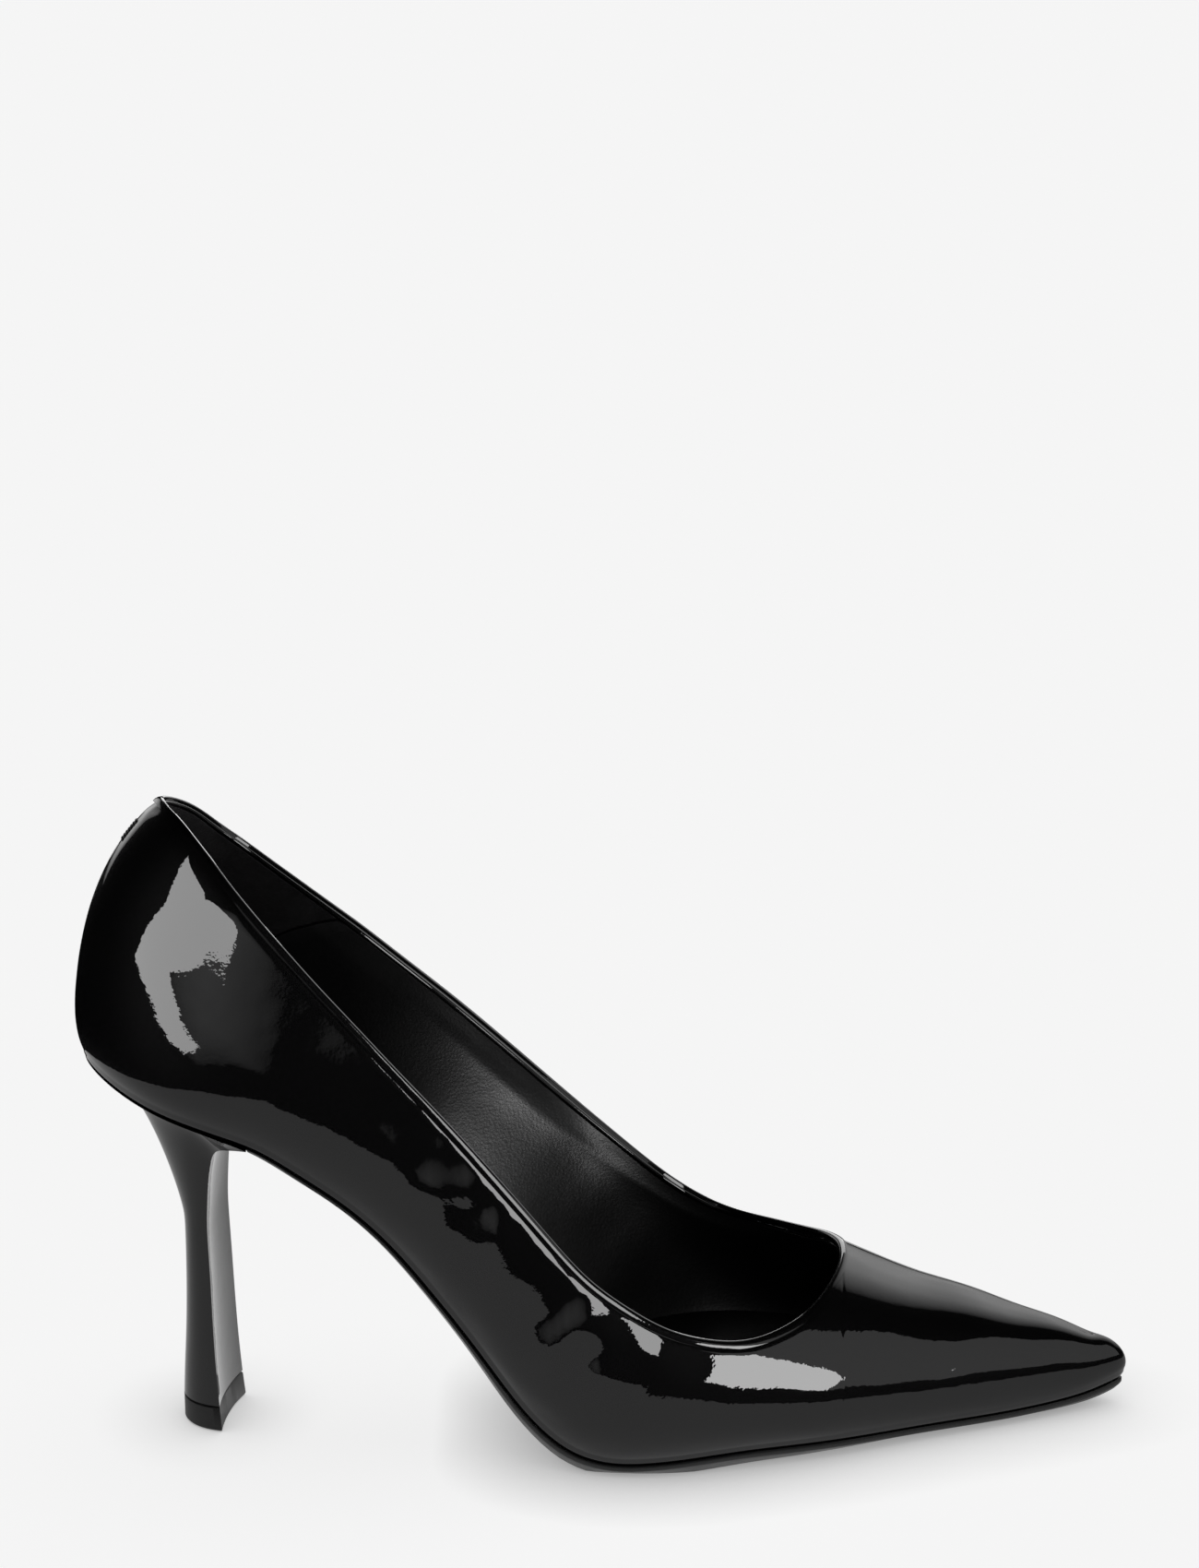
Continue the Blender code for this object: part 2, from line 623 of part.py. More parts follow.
def heel_ring(z):
    """Corners of the heel at a height: round the back, then along the hollow breast."""
    x, y, half, depth = heel_shape(z)
    ahead = np.array([math.cos(HEEL_TWIST), math.sin(HEEL_TWIST)])
    across = np.array([-ahead[1], ahead[0]])
    count = 2 * len(SEAT_STATIONS) - 1
    spots = []
    for turn in np.linspace(0, math.pi, count):
        spots.append((-depth * math.sin(turn) ** HEEL_ROUNDNESS, -half * math.cos(turn)))
    for part in (0.25, 0.5, 0.75):
        spots.append((-BREAST_HOLLOW * 4 * part * (1 - part), half - 2 * half * part))
    return np.array([[x, y] + a * ahead + b * across for a, b in spots])


def seat_ring():
    """Corners of the heel seat, in the same order as heel_ring."""
    stations = SEAT_STATIONS
    outer = [plan(x, OUTER, SOLE_INSET)[0] for x in stations[::-1]]
    inner = [plan(x, INNER, SOLE_INSET)[0] for x in stations[1:]]
    first, last = outer[0], inner[-1]
    front = [last + (first - last) * part for part in (0.25, 0.5, 0.75)]
    return np.array(outer + inner + front)


def shrink(ring, inset):
    centre = ring.mean(axis=0)
    way = ring - centre
    size = np.linalg.norm(way, axis=1)[:, None]
    return centre + way * (1 - inset / size)


def cup_ring(part, inset):
    """Ring of the flare, a part of the way from the shaft to the rim, drawn in square to its face."""
    top, seat = heel_ring(HEEL_ROWS[-1][0]), seat_ring()
    turned_back = np.zeros(len(top))
    count = 2 * len(SEAT_STATIONS) - 1
    turned_back[:count] = np.clip(np.sin(np.linspace(0, math.pi, count)), 0, 1) ** CUP_SPREAD
    power = CUP_POWER[1] + (CUP_POWER[0] - CUP_POWER[1]) * turned_back
    way = seat - top
    reach = np.linalg.norm(way, axis=1)
    shelf = CUP_SHELF * (1 - turned_back)
    drop = level(top[:, 0], SOLE_TOP) - HEEL_ROWS[-1][0] - CUP_RIM - shelf
    tilt = np.arctan((shelf + drop * power * (1 - part) ** (power - 1)) / reach)
    drawn_in = inset * (part + (1 - part) * np.sin(tilt)) / reach
    spots = top + way * (part - drawn_in)[:, None]
    fall = CUP_RIM + shelf * (1 - part) + drop * (1 - part) ** power - inset * np.cos(tilt)
    return np.column_stack([spots, level(spots[:, 0], SOLE_TOP) - fall])


def heel_skin(inset, start):
    """Rings of the heel from its lower end to the seat, drawn in by an inset."""
    rings = []
    heights = [start] + [row[0] for row in HEEL_ROWS if row[0] > start]
    for z in heights:
        ring = shrink(heel_ring(z), inset)
        rings.append(np.column_stack([ring, np.full(len(ring), z)]))
    rings += [cup_ring(part, inset) for part in CUP_STEPS]
    seat = rings[-1][:, :2]
    return rings + [np.column_stack([seat, level(seat[:, 0], SOLE_TOP)])]


def ring_faces(rings, offset=0):
    corners = len(rings[0])
    faces = []
    for i in range(len(rings) - 1):
        for k in range(corners):
            n = (k + 1) % corners
            a, b = offset + i * corners, offset + (i + 1) * corners
            faces.append([a + k, a + n, b + n, b + k])
    return faces


def ladder_faces(offset):
    """Faces across the heel seat, from side to side."""
    count = len(SEAT_STATIONS)
    outer = [offset + count - 1 - i for i in range(count)]
    inner = [offset + count - 1 + i for i in range(count)]
    faces = [[outer[i], inner[i], inner[i + 1], outer[i + 1]] for i in range(count - 1)]
    faces[-1] = faces[-1][:3] + [inner[-1] + 1, inner[-1] + 2, inner[-1] + 3] + faces[-1][3:]
    return faces


def build_heel():
    start = TOP_PIECE_HEIGHT + SEAM_GAP
    core_rings = heel_skin(CORE_INSET, start)
    corners = len(core_rings[0])
    faces = ring_faces(core_rings) + [list(range(corners))] + ladder_faces((len(core_rings) - 1) * corners)
    core = link("heel_core", [p for ring in core_rings for p in ring], faces, "plastic")

    outside, inside = heel_skin(0.0, start), heel_skin(COVER, start)
    shift = len(outside) * corners
    faces = ring_faces(outside) + ring_faces(inside, shift)
    for base in (0, (len(outside) - 1) * corners):
        for k in range(corners):
            n = (k + 1) % corners
            faces.append([base + k, base + n, shift + base + n, shift + base + k])
    link("heel_cover", [p for ring in outside + inside for p in ring], faces, "patent")

    rings = [np.column_stack([heel_ring(z), np.full(corners, z)]) for z in (0.0, TOP_PIECE_HEIGHT)]
    faces = ring_faces(rings) + [list(range(corners)), list(range(corners, 2 * corners))]
    top_piece = link("top_piece", [p for ring in rings for p in ring], faces, "rubber")
    return core, top_piece


def turned(name, profile, base, way, colour, sides=12, bore=0.0):
    """Solid of revolution: profile rows of (radius, distance) from a base point along a direction."""
    way = np.array(way, float) / np.linalg.norm(way)
    first = np.cross(way, [0, 1, 0])
    first = first / np.linalg.norm(first)
    second = np.cross(way, first)
    rows = list(profile)
    if bore:
        rows += [(bore, profile[-1][1]), (bore, profile[0][1])]
    vertices, faces = [], []
    for radius, along in rows:
        for k in range(sides):
            turn = 2 * math.pi * k / sides
            vertices.append(np.array(base) + way * along
                            + (first * math.cos(turn) + second * math.sin(turn)) * radius)
    spans = len(rows) if bore else len(rows) - 1
    for i in range(spans):
        for k in range(sides):
            n = (k + 1) % sides
            a, b = i * sides, (i + 1) % len(rows) * sides
            faces.append([a + k, a + n, b + n, b + k])
    if not bore:
        faces += [list(range(sides)), [(len(rows) - 1) * sides + k for k in range(sides)]]
    return link(name, vertices, faces, colour)


def grown(profile, gap):
    """Profile of the hole for a turned piece."""
    low, high = profile[0][1], profile[-1][1]
    rows = []
    for radius, along in profile:
        move = -gap if along == low else gap if along == high else 0
        rows.append((radius + gap, along + move))
    return rows


def cut(target, cutter):
    cutter.hide_render = True
    cutter.display_type = "WIRE"
    step = target.modifiers.new(cutter.name, "BOOLEAN")
    step.operation = "DIFFERENCE"
    step.solver = "EXACT"
    step.object = cutter


def seat_normal(x):
    slope = float(bottom_edge(x + 0.5) - bottom_edge(x - 0.5))
    length = math.hypot(1, slope)
    return np.array([-slope / length, 0, 1 / length])


def headed(sizes, length, head):
    """Profile of a headed fastener, from its point up to the top of its head."""
    radius, wide = sizes["radius"], sizes["head_radius"]
    return [(radius * 0.4, 0), (radius, radius), (radius, length - head), (wide, length - head / 2),
            (wide, length)]


def fasten(name, spot, profile, targets, colour, sides):
    """Place a fastener square to the seat, its head just below the top of the board, and cut its holes."""
    x, y = spot
    way = seat_normal(x)
    base = np.array([x, y, level(x, HEAD_HEIGHT)]) - way * profile[-1][1]
    turned(name, profile, base, way, colour, sides)
    hole = grown(profile, CLEARANCE)
    for target in targets:
        cut(target, turned(name + "_hole_" + target.name, hole, base, way, colour, sides))


def build_fasteners(core, top_piece, board, shank):
    profile = headed(SCREW, SCREW["length"], 1.6)
    fasten("heel_screw", (SCREW["x"], SCREW["y"]), profile, (core, board, shank), "steel", 12)
    profile = headed(NAIL, NAIL["length"], 0.8)
    for number, spot in enumerate(NAIL_SPOTS, 1):
        fasten(f"heel_nail_{number}", spot, profile, (core, board), "steel", 8)
    wide, stem = RIVET["head_radius"], RIVET["radius"]
    length = HEAD_HEIGHT - MARGIN[0]
    profile = [(stem, 0), (stem, length - 0.6), (wide, length - 0.3), (wide, length)]
    for number, x in enumerate(RIVET_STATIONS, 1):
        fasten(f"shank_rivet_{number}", (x, float(middle(x))), profile, (board, shank), "brass", 10)

    upright = (0, 0, 1)
    base = (DOWEL["x"], DOWEL["y"], DOWEL["low"])
    height = DOWEL["high"] - DOWEL["low"]
    turned("heel_dowel", [(DOWEL["radius"], 0), (DOWEL["radius"], height)], base, upright, "steel", 16,
           DOWEL["bore"])
    radius = DOWEL["radius"] + CLEARANCE
    cut(core, turned("dowel_hole", [(radius, -DOWEL_MOUTH), (radius, height + CLEARANCE)], base, upright,
                     "steel", 16))

    base = (DOWEL["x"], DOWEL["y"], PIN["head_low"])
    head, stem = PIN["head_radius"], PIN["radius"]
    rise, length = PIN["head_high"] - PIN["head_low"], PIN["high"] - PIN["head_low"]
    profile = [(head, 0), (head, rise), (stem, rise), (stem, length)]
    turned("top_piece_pin", profile, base, upright, "steel", 12)
    head, stem = head + CLEARANCE, stem + CLEARANCE
    cut(top_piece, turned("pin_hole", [(head, -CLEARANCE), (head, rise + CLEARANCE), (stem, rise + CLEARANCE),
                                       (stem, length)], base, upright, "steel", 12))


build_upper()
build_binding()
build_bartack()
board, shank = build_bottom()
core, top_piece = build_heel()
build_fasteners(core, top_piece, board, shank)
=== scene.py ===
import json
import math

import bmesh
import bpy
import numpy as np
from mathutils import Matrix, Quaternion, Vector, noise

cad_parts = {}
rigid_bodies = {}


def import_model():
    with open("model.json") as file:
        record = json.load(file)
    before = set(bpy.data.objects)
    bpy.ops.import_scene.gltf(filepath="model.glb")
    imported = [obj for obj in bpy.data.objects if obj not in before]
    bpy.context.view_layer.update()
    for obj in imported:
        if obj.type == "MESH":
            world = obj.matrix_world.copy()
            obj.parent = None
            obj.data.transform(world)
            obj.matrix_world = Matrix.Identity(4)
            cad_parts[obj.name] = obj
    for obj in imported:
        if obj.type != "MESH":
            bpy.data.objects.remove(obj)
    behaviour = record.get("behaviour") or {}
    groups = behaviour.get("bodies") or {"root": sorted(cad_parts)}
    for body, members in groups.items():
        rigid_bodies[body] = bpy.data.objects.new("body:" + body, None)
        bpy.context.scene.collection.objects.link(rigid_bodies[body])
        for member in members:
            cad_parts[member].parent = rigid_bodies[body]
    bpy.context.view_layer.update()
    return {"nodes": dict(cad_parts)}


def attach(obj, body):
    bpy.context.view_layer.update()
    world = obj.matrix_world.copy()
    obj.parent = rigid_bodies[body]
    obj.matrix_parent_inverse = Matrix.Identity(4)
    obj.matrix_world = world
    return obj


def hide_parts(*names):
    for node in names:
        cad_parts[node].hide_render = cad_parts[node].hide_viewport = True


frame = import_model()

# Looks of the high heel pump.
#
# Lengths are millimetres on the last's own axes (X from the back of the counter to the toe, Y negative on the
# outer side, Z up from the ground) until a mesh is written, then metres in the frame of the CAD model.
MM = 0.001
OUTER, INNER = -1, 1
BOTH = (OUTER, INNER)

# Overall shape
SHOE_BACK = 2.4
SHOE_TIP = 237.0
HEEL_PIVOT = 30.0
TOE_PIVOT = 229.0
HEEL_BLEND = 5.0
TOE_BLEND = 2.5
FRAME_SHIFT = (119.07, -0.39, 0.0)

# Height of the lower edge of the bottom, along X
BOTTOM_EDGE = [(-10, 89.2), (0, 87.4), (8, 84.9), (18, 81.6), (27, 78.9), (34, 76.5), (41, 73.6), (50, 67.7),
               (60, 60.3), (70, 50.7), (79, 39.7), (89, 26.5), (98.5, 13.7), (103.5, 8.5), (108.5, 4.8),
               (113, 2.8), (119, 1.6), (128, 1.7), (137, 2.4), (147, 2.9), (160, 2.8), (180, 2.3),
               (198, 1.9), (210, 1.8), (219, 2.0), (229, 3.0), (237, 4.9), (250, 8)]
# Middle of the sole outline in Y
MIDDLE = [(0, 0.8), (30, -2.6), (60, -5), (90, -5), (120, -2), (150, 0.5), (180, 2.5), (210, 3.3),
          (237, 3.5)]
# Half widths of the sole outline on each side of its middle
OUTER_HALF = [(6, 9.8), (13, 16.8), (24, 21.8), (38, 22), (60, 20), (80, 21), (100, 26.3), (118, 31.7),
              (134, 33.4), (150, 31.2), (170, 26.7), (190, 19.8), (210, 12.8), (225, 6.9), (233, 3.4)]
INNER_HALF = [(6, 9.8), (13, 16.8), (24, 22.4), (38, 23), (60, 20.5), (80, 20), (100, 22.5), (118, 28),
              (134, 32.3), (150, 32), (170, 26.8), (190, 19.6), (210, 12), (225, 6.4), (233, 3.2)]
# Height of the closed top line of the upper; behind the throat it is only a guide
RIDGE = [(0, 160), (30, 171), (50, 166), (70, 146), (90, 117), (110, 89), (130, 64.5), (150, 48.5),
         (172, 38.7), (190, 30.8), (203, 26.8), (212, 23.5), (222, 20.2), (229, 16.7)]
# Fullness of the cross section: 2 is an ellipse, more is squarer
FULLNESS = [(0, 3.2), (30, 4.2), (60, 4.8), (90, 4.2), (120, 3.0), (150, 2.4), (172, 2.2), (200, 2.6),
            (237, 2.0)]
# Swell of the wall above the sole edge on each side, and the height where it is largest
OUTER_SWELL = [(0, 1.5), (40, 2.6), (80, 3.2), (120, 3.2), (150, 2.4), (180, 1.3), (210, 0.8), (237, 0.5)]
INNER_SWELL = [(0, 1.5), (40, 4.5), (70, 11), (95, 14), (115, 12.5), (135, 7), (160, 2.5), (200, 0.9),
               (237, 0.5)]
OUTER_SWELL_HEIGHT = [(0, 9), (40, 13), (80, 18), (110, 15), (140, 10), (180, 7), (237, 4)]
INNER_SWELL_HEIGHT = [(0, 9), (40, 30), (70, 68), (95, 80), (115, 60), (135, 30), (160, 12), (180, 7),
                      (237, 4)]
# The back of the counter leans forward by this much at this height above the seat
LEAN = 16.3
LEAN_HEIGHT = 61.0
LEAN_POWER = 3.5
LEAN_FADE = (18.0, 60.0)

# Topline height against the station along the sole outline
THROAT = 171.5
OUTER_TOPLINE = [(0, 148.9), (6, 147.9), (14, 144.5), (22, 140.1), (30, 135.5), (40, 128.9), (50, 120.3),
                 (60, 109.7), (72, 96.1), (84, 82.9), (96, 69.1), (106, 57.1), (114, 48.1), (122, 41.7),
                 (132, 35.5), (142, 31.9), (150, 30.6), (158, 31.7), (165, 34.5), (169, 37.2), (171.5, 38.9)]
INNER_TOPLINE = [(0, 148.9), (6, 145.6), (14, 141.3), (22, 136.1), (30, 131.6), (40, 125.9), (50, 119.5),
                 (60, 112.2), (72, 101.9), (84, 91.1), (96, 79.2), (106, 68.8), (114, 60.7), (122, 53.1),
                 (132, 44.5), (142, 38.6), (150, 36.7), (158, 36.7), (165, 37), (169, 38), (171.5, 38.9)]

# Heights above the lower edge of the bottom, measured square to it
FEATHER = 3.4
SOLE_TOP = 1.5
MARGIN = (1.75, 2.85)
PAD = (4.7, 6.1)
SOCK = (6.35, 6.95)

# Insets of the wall layers from the outside of the upper
LEATHER = 0.8
LINING = (1.9, 2.5)
LINING_AT_TOP = (1.0, 1.7)
BOTTOM_INSET = 2.8
SOLE_INSET = 0.5
MARGIN_WIDTH = 8.0
MARGIN_SHARE = 0.42
TOP_DROP = 1.0
# Gap at the seams, and between the heel and the front part of the outsole
SEAM_GAP = 0.3
SOLE_GAP = 0.08
QUARTER_SEAM = 102
LINING_SEAM = 58
LINING_SLANT = 27.0
# Soft dents in the lining on each side: where, how wide, how deep
LINING_DENTS = {OUTER: [],
                INNER: [((90, 30, 74), 4.5, 0.9), ((82, 28, 88), 8.0, -0.5),
                        ((98, 30, 66), 5.0, -0.5), ((112, 30, 50), 7.0, 0.5)]}
# Slow rise and fall of the skins: depth on the patent leather and on the lining, and how far the lining's
# front edge stands proud at its seam
PATENT_WAVES = 0.16
LINING_WAVES = 0.5
LINING_LIP = 0.35
# Bar of stitches at the back: how many, where up the back, half width, rise, dip, bend and thickness
STITCHES = 7
STITCH_SPAN = (0.81, 0.89)
STITCH_REACH = 1.35
STITCH_LIFT = 0.55
STITCH_DIP = 0.4
STITCH_BEND = 60
THREAD_RADIUS = 0.33
# Places where the outer leather has flexed: middle, reach along each axis, size and depth of the waves
FLEX = [((86, -28, 58), (16, 40, 24), 7.5, 0.65), ((114, -30, 32), (18, 40, 22), 8.5, 0.75)]
# Station of the heel's breast
BREAST = 40
# Stations over which the sock draws in to its inset at the toe
TOE_EASE = (190, 229)
SOCK_TOE_INSET = 1.3
# How far the tread bulges below the sole's lower edge, along X
TREAD_CROWN = [(40, 1.0), (88, 1.2), (112, 3.1), (150, 3.1), (180, 1.8), (237, 0.8)]
TREAD_EDGE = 5.5
# Share of its full thickness that the outsole has along X
SOLE_SHARE = [(40, 0.2), (54, 0.5), (88, 0.6), (108, 1.0)]

# Heel: height, middle of the breast line X and Y, half width, depth behind the breast
HEEL_ROWS = [(0, 33.7, -2.5, 9.5, 11.2), (5.8, 33.2, -2.4, 9.2, 10.7), (20, 32.3, -2.2, 8.9, 8.9),
             (35, 31.8, -1.9, 8.5, 7.8), (50, 31.2, -1.6, 8.2, 7.1)]
HEEL_TWIST = math.radians(-12)
BREAST_HOLLOW = 0.9
HEEL_ROUNDNESS = 0.85
# The heel flares from the shaft to the seat: how sharply at its back and at its breast, how thick the flare
# still is at the breast, what share of that it loses on its way to the seat, and how soon the back takes over
CUP_POWER = (2.3, 12.0)
CUP_SHELF = 11.0
CUP_SHELF_FALL = 0.93
CUP_SPREAD = 0.7
# How finely the heel is drawn: rings of the shaft and the flare, corners round the back and across the breast
SHAFT_RINGS = 24
CUP_RINGS = 48
HEEL_CORNERS = 96
BREAST_CORNERS = 13
HEEL_SMOOTHING = 8
TOP_PIECE_HEIGHT = 5.8
# Top piece: height, and how far it stands out from the heel's outline there
TOP_PIECE_EDGES = [(0.0, -0.35), (0.35, 0.0), (TOP_PIECE_HEIGHT - 0.3, 0.0), (TOP_PIECE_HEIGHT, -0.25)]

# How finely the surfaces are drawn
WAIST_STEP = 2.0
THROAT_START = 150
THROAT_END = 173.0
THROAT_EASE = 22
WALL_ROWS = 44
MARGIN_ROWS = 4

# Near the top the two faces of the patent leather curl in, and the lining moves out to meet them; each starts
# at a share of the rows
FACE_CURL = 0.7
BACK_CURL = 0.4
CURL_START = 0.92
LINING_RISE_START = 0.86

# The camera: a point on the last's axes, and how far it looks down
CAMERA_SPOT = (117.0, -910.0, 474.7)
CAMERA_DOWN = math.radians(19.57)
CAMERA_LENS = 102.1

# The studio, its lengths in metres: brightness of the dome and the sun, spread and tilt of the sun
DOME = 0.03
SUN = 0.22
SUN_SPREAD = math.radians(42)
SUN_TILT = math.radians(9)
# Floor: size, depth below the tread, colour, glow, and reach and depth of the painted shadow near the shoe
FLOOR_RADIUS = 9.0
FLOOR_DEPTH = 0.0002
FLOOR_WHITE = 0.8
FLOOR_GLOW = 0.835
PAINTED_SHADOW_REACH = 0.022
PAINTED_SHADOW_LEVEL = 0.30
# Part of the floor that shows in the gloss
TABLE_RADIUS = 0.24
TABLE_DEPTH = 0.0001
TABLE_GLOW = 0.48
# White walls far away: their distance and brightness
WALLS = 8.0
WALL_GLOW = 0.914


def spline(points, closed=False):
    """Cubic spline through rows of (position, value, ...)."""
    rows = np.asarray(points, float)
    at, values = rows[:, 0], rows[:, 1:]
    step, count = np.diff(at), len(at)
    matrix = np.zeros((count, count))
    right = np.zeros_like(values)
    matrix[0, 0] = matrix[-1, -1] = 1
    for i in range(1, count - 1):
        matrix[i, i - 1:i + 2] = step[i - 1], 2 * (step[i - 1] + step[i]), step[i]
        right[i] = 6 * ((values[i + 1] - values[i]) / step[i] - (values[i] - values[i - 1]) / step[i - 1])
    if closed:
        matrix[0, -1] = -1
        matrix[-1] = 0
        matrix[-1, [0, 1, -2, -1]] = 2 * step[0], step[0], step[-1], 2 * step[-1]
        right[-1] = 6 * ((values[1] - values[0]) / step[0] - (values[-1] - values[-2]) / step[-1])
    bend = np.linalg.solve(matrix, right)

    def value(query):
        query = np.asarray(query, float)
        flat = np.atleast_1d(query).ravel()
        i = np.clip(np.searchsorted(at, flat) - 1, 0, count - 2)
        a = ((at[i + 1] - flat) / step[i])[:, None]
        b = 1 - a
        width = step[i][:, None]
        out = a * values[i] + b * values[i + 1]
        out = out + ((a ** 3 - a) * bend[i] + (b ** 3 - b) * bend[i + 1]) * width ** 2 / 6
        if values.shape[1] == 1:
            return out[:, 0].reshape(query.shape)
        return out.reshape(query.shape + (values.shape[1],))

    return value


bottom_edge = spline(BOTTOM_EDGE)
middle = spline(MIDDLE)
ridge = spline(RIDGE)
fullness = spline(FULLNESS)
swell = {OUTER: spline(OUTER_SWELL), INNER: spline(INNER_SWELL)}
swell_height = {OUTER: spline(OUTER_SWELL_HEIGHT), INNER: spline(INNER_SWELL_HEIGHT)}
topline = {OUTER: spline(OUTER_TOPLINE), INNER: spline(INNER_TOPLINE)}


def sole_outline():
    """Plan outline of each side as (x values, y values), from back to tip."""
    start = (SHOE_BACK, float(middle(SHOE_BACK)))
    outer = [(x, float(middle(x)) - half) for x, half in OUTER_HALF]
    inner = [(x, float(middle(x)) + half) for x, half in INNER_HALF]
    tip = (SHOE_TIP, float(middle(SHOE_TIP)))
    loop = np.array([start] + outer + [tip] + inner[::-1] + [start])
    along = np.concatenate([[0], np.cumsum(np.linalg.norm(np.diff(loop, axis=0), axis=1))])
    curve = spline(np.column_stack([along, loop]), closed=True)
    turn = along[len(outer) + 1]
    sides = {}
    for side, end in ((OUTER, 0.0), (INNER, along[-1])):
        line = curve(np.linspace(end, turn, 4000))
        sides[side] = np.maximum.accumulate(line[:, 0]), line[:, 1]
    return sides


OUTLINE = sole_outline()


def pivot(x):
    """Middle point that the cross section at a station is built around."""
    ahead = HEEL_PIVOT + HEEL_BLEND * np.log1p(np.exp((x - HEEL_PIVOT) / HEEL_BLEND))
    return TOE_PIVOT - TOE_BLEND * np.log1p(np.exp((TOE_PIVOT - ahead) / TOE_BLEND))


def level(x, height):
    """Z of the curve that stays a fixed height square to the bottom edge."""
    along = np.linspace(-10, 250, 1301)
    edge = bottom_edge(along)
    slope = np.gradient(edge, along)
    length = np.sqrt(1 + slope ** 2)
    return np.interp(x, along - height * slope / length, edge + height / length)


def plan(x, side, inset=0.0):
    """Plan point of the sole outline, its cross section middle, and the reach between them."""
    x = np.asarray(x, float)
    edge = np.stack([x, np.interp(x, *OUTLINE[side])], -1)
    centre = np.stack([pivot(x), middle(pivot(x))], -1)
    reach = np.linalg.norm(edge - centre, axis=-1)[..., None]
    return edge + (centre - edge) * (inset / reach), centre, reach


def wall(x, v, side, inset=0.0):
    """Point of the upper: v runs from 0 at the sole edge to 1 at the closed ridge."""
    x, v = np.broadcast_arrays(np.asarray(x, float), np.asarray(v, float))
    foot, centre, reach = plan(x, side, inset)
    low = level(foot[..., 0], FEATHER)
    turn = v * math.pi / 2
    rise = (ridge(centre[..., 0]) - inset - low) * np.sin(turn)
    spread = np.clip(np.cos(turn), 0, 1) ** (2 / fullness(x))
    part = rise / swell_height[side](x)
    hump = swell[side](x) * part * np.exp(1 - part) * np.clip(reach[..., 0] / 6, 0, 1)
    spot = centre + (foot - centre) * (spread[..., None] + hump[..., None] / reach)
    fade = np.clip((x - LEAN_FADE[0]) / (LEAN_FADE[1] - LEAN_FADE[0]), 0, 1)
    lean = LEAN * (rise / LEAN_HEIGHT) ** LEAN_POWER * (1 - fade * fade * (3 - 2 * fade))
    return np.stack([spot[..., 0] + lean, spot[..., 1], low + rise], -1)


def top_v(x, side):
    """Where the topline crosses the cross section at a station."""
    x = np.asarray(x, float)
    foot, centre, reach = plan(x, side)
    low = level(foot[..., 0], FEATHER)
    part = (topline[side](np.minimum(x, THROAT)) - low) / (ridge(centre[..., 0]) - low)
    return np.where(x >= THROAT, 1.0, np.arcsin(np.clip(part, 0, 1)) * 2 / math.pi)


# ---- Stations and rows
def station_list():
    """Stations from the back of the heel to the tip of the toe, closer where the plan turns."""
    heel = SHOE_BACK + (HEEL_PIVOT - SHOE_BACK) * (1 - np.cos(np.linspace(0, math.pi / 2, 26)))
    waist = np.arange(HEEL_PIVOT + WAIST_STEP, THROAT_START, WAIST_STEP)
    throat = THROAT_END - (THROAT_END - THROAT_START) * np.linspace(1, 0, 26) ** 1.8
    vamp = np.linspace(THROAT_END, TOE_PIVOT, 36)[1:]
    toe = TOE_PIVOT + (SHOE_TIP - TOE_PIVOT) * np.sin(np.linspace(0, math.pi / 2, 14)[1:])
    return np.concatenate([heel, waist, throat, vamp, toe])


STATIONS = station_list()
LAST = len(STATIONS) - 1
JOIN = int(np.argmin(np.abs(STATIONS - THROAT_END)))
EVEN_ROWS = np.linspace(0, 1, WALL_ROWS + 1)
ROWS = 0.35 * (0.5 - 0.5 * np.cos(EVEN_ROWS * math.pi)) + 0.65 * EVEN_ROWS


def station_index(x):
    return int(np.argmin(np.abs(STATIONS - x)))


def topline_curve(side):
    """Points of the topline on one side, from the back to the throat."""
    x = np.concatenate([np.linspace(SHOE_BACK, THROAT_START, 200),
                        np.linspace(THROAT_START, THROAT, 200)[1:]])
    return wall(x, top_v(x, side), side)


def edge_row(side):
    """Where the leather stops at each station, a set distance below the topline."""
    line = topline_curve(side)
    edges = []
    for x in STATIONS:
        if x >= THROAT_END:
            edges.append(1.0)
            continue
        v = np.linspace(0.3, float(top_v(x, side)), 240)
        points = wall(x, v, side)
        away = np.linalg.norm(points[:, None] - line[None], axis=2).min(axis=1)
        edges.append(float(v[np.nonzero(away >= TOP_DROP)[0][-1]]))
    return np.array(edges)


EDGE_V = {side: edge_row(side) for side in BOTH}


def open_share(x):
    """1 where the shoe is open above a station, falling to 0 at the throat."""
    return np.clip((THROAT_END - x) / THROAT_EASE, 0, 1)


# ---- Mesh helpers
def to_frame(points):
    """Millimetres on the last's axes to metres in the shared frame."""
    return (np.asarray(points, float) - np.array(FRAME_SHIFT)) * MM


def add_object(name, data):
    """New object in the scene."""
    made = bpy.data.objects.new(name, data)
    bpy.context.scene.collection.objects.link(made)
    return made


def piece(name, vertices, faces, paint, slot, replaces=(), sharp=40.0, padded=None):
    """Write a mesh as a piece of the shoe: smooth, riding on the root, with its finish."""
    body = bmesh.new()
    knots = [body.verts.new(tuple(p)) for p in to_frame(vertices)]
    for face in faces:
        corners = []
        for index in face:
            if knots[index] not in corners:
                corners.append(knots[index])
        if len(corners) > 2:
            body.faces.new(corners)
    bmesh.ops.remove_doubles(body, verts=body.verts, dist=1e-6)
    bmesh.ops.recalc_face_normals(body, faces=body.faces)
    data = bpy.data.meshes.new(name)
    body.to_mesh(data)
    body.free()
    data.materials.append(paint)
    data.shade_smooth()
    data.set_sharp_from_angle(angle=math.radians(sharp))
    thing = add_object(name, data)
    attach(thing, "root")
    if replaces:
        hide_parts(*replaces)
    return thing


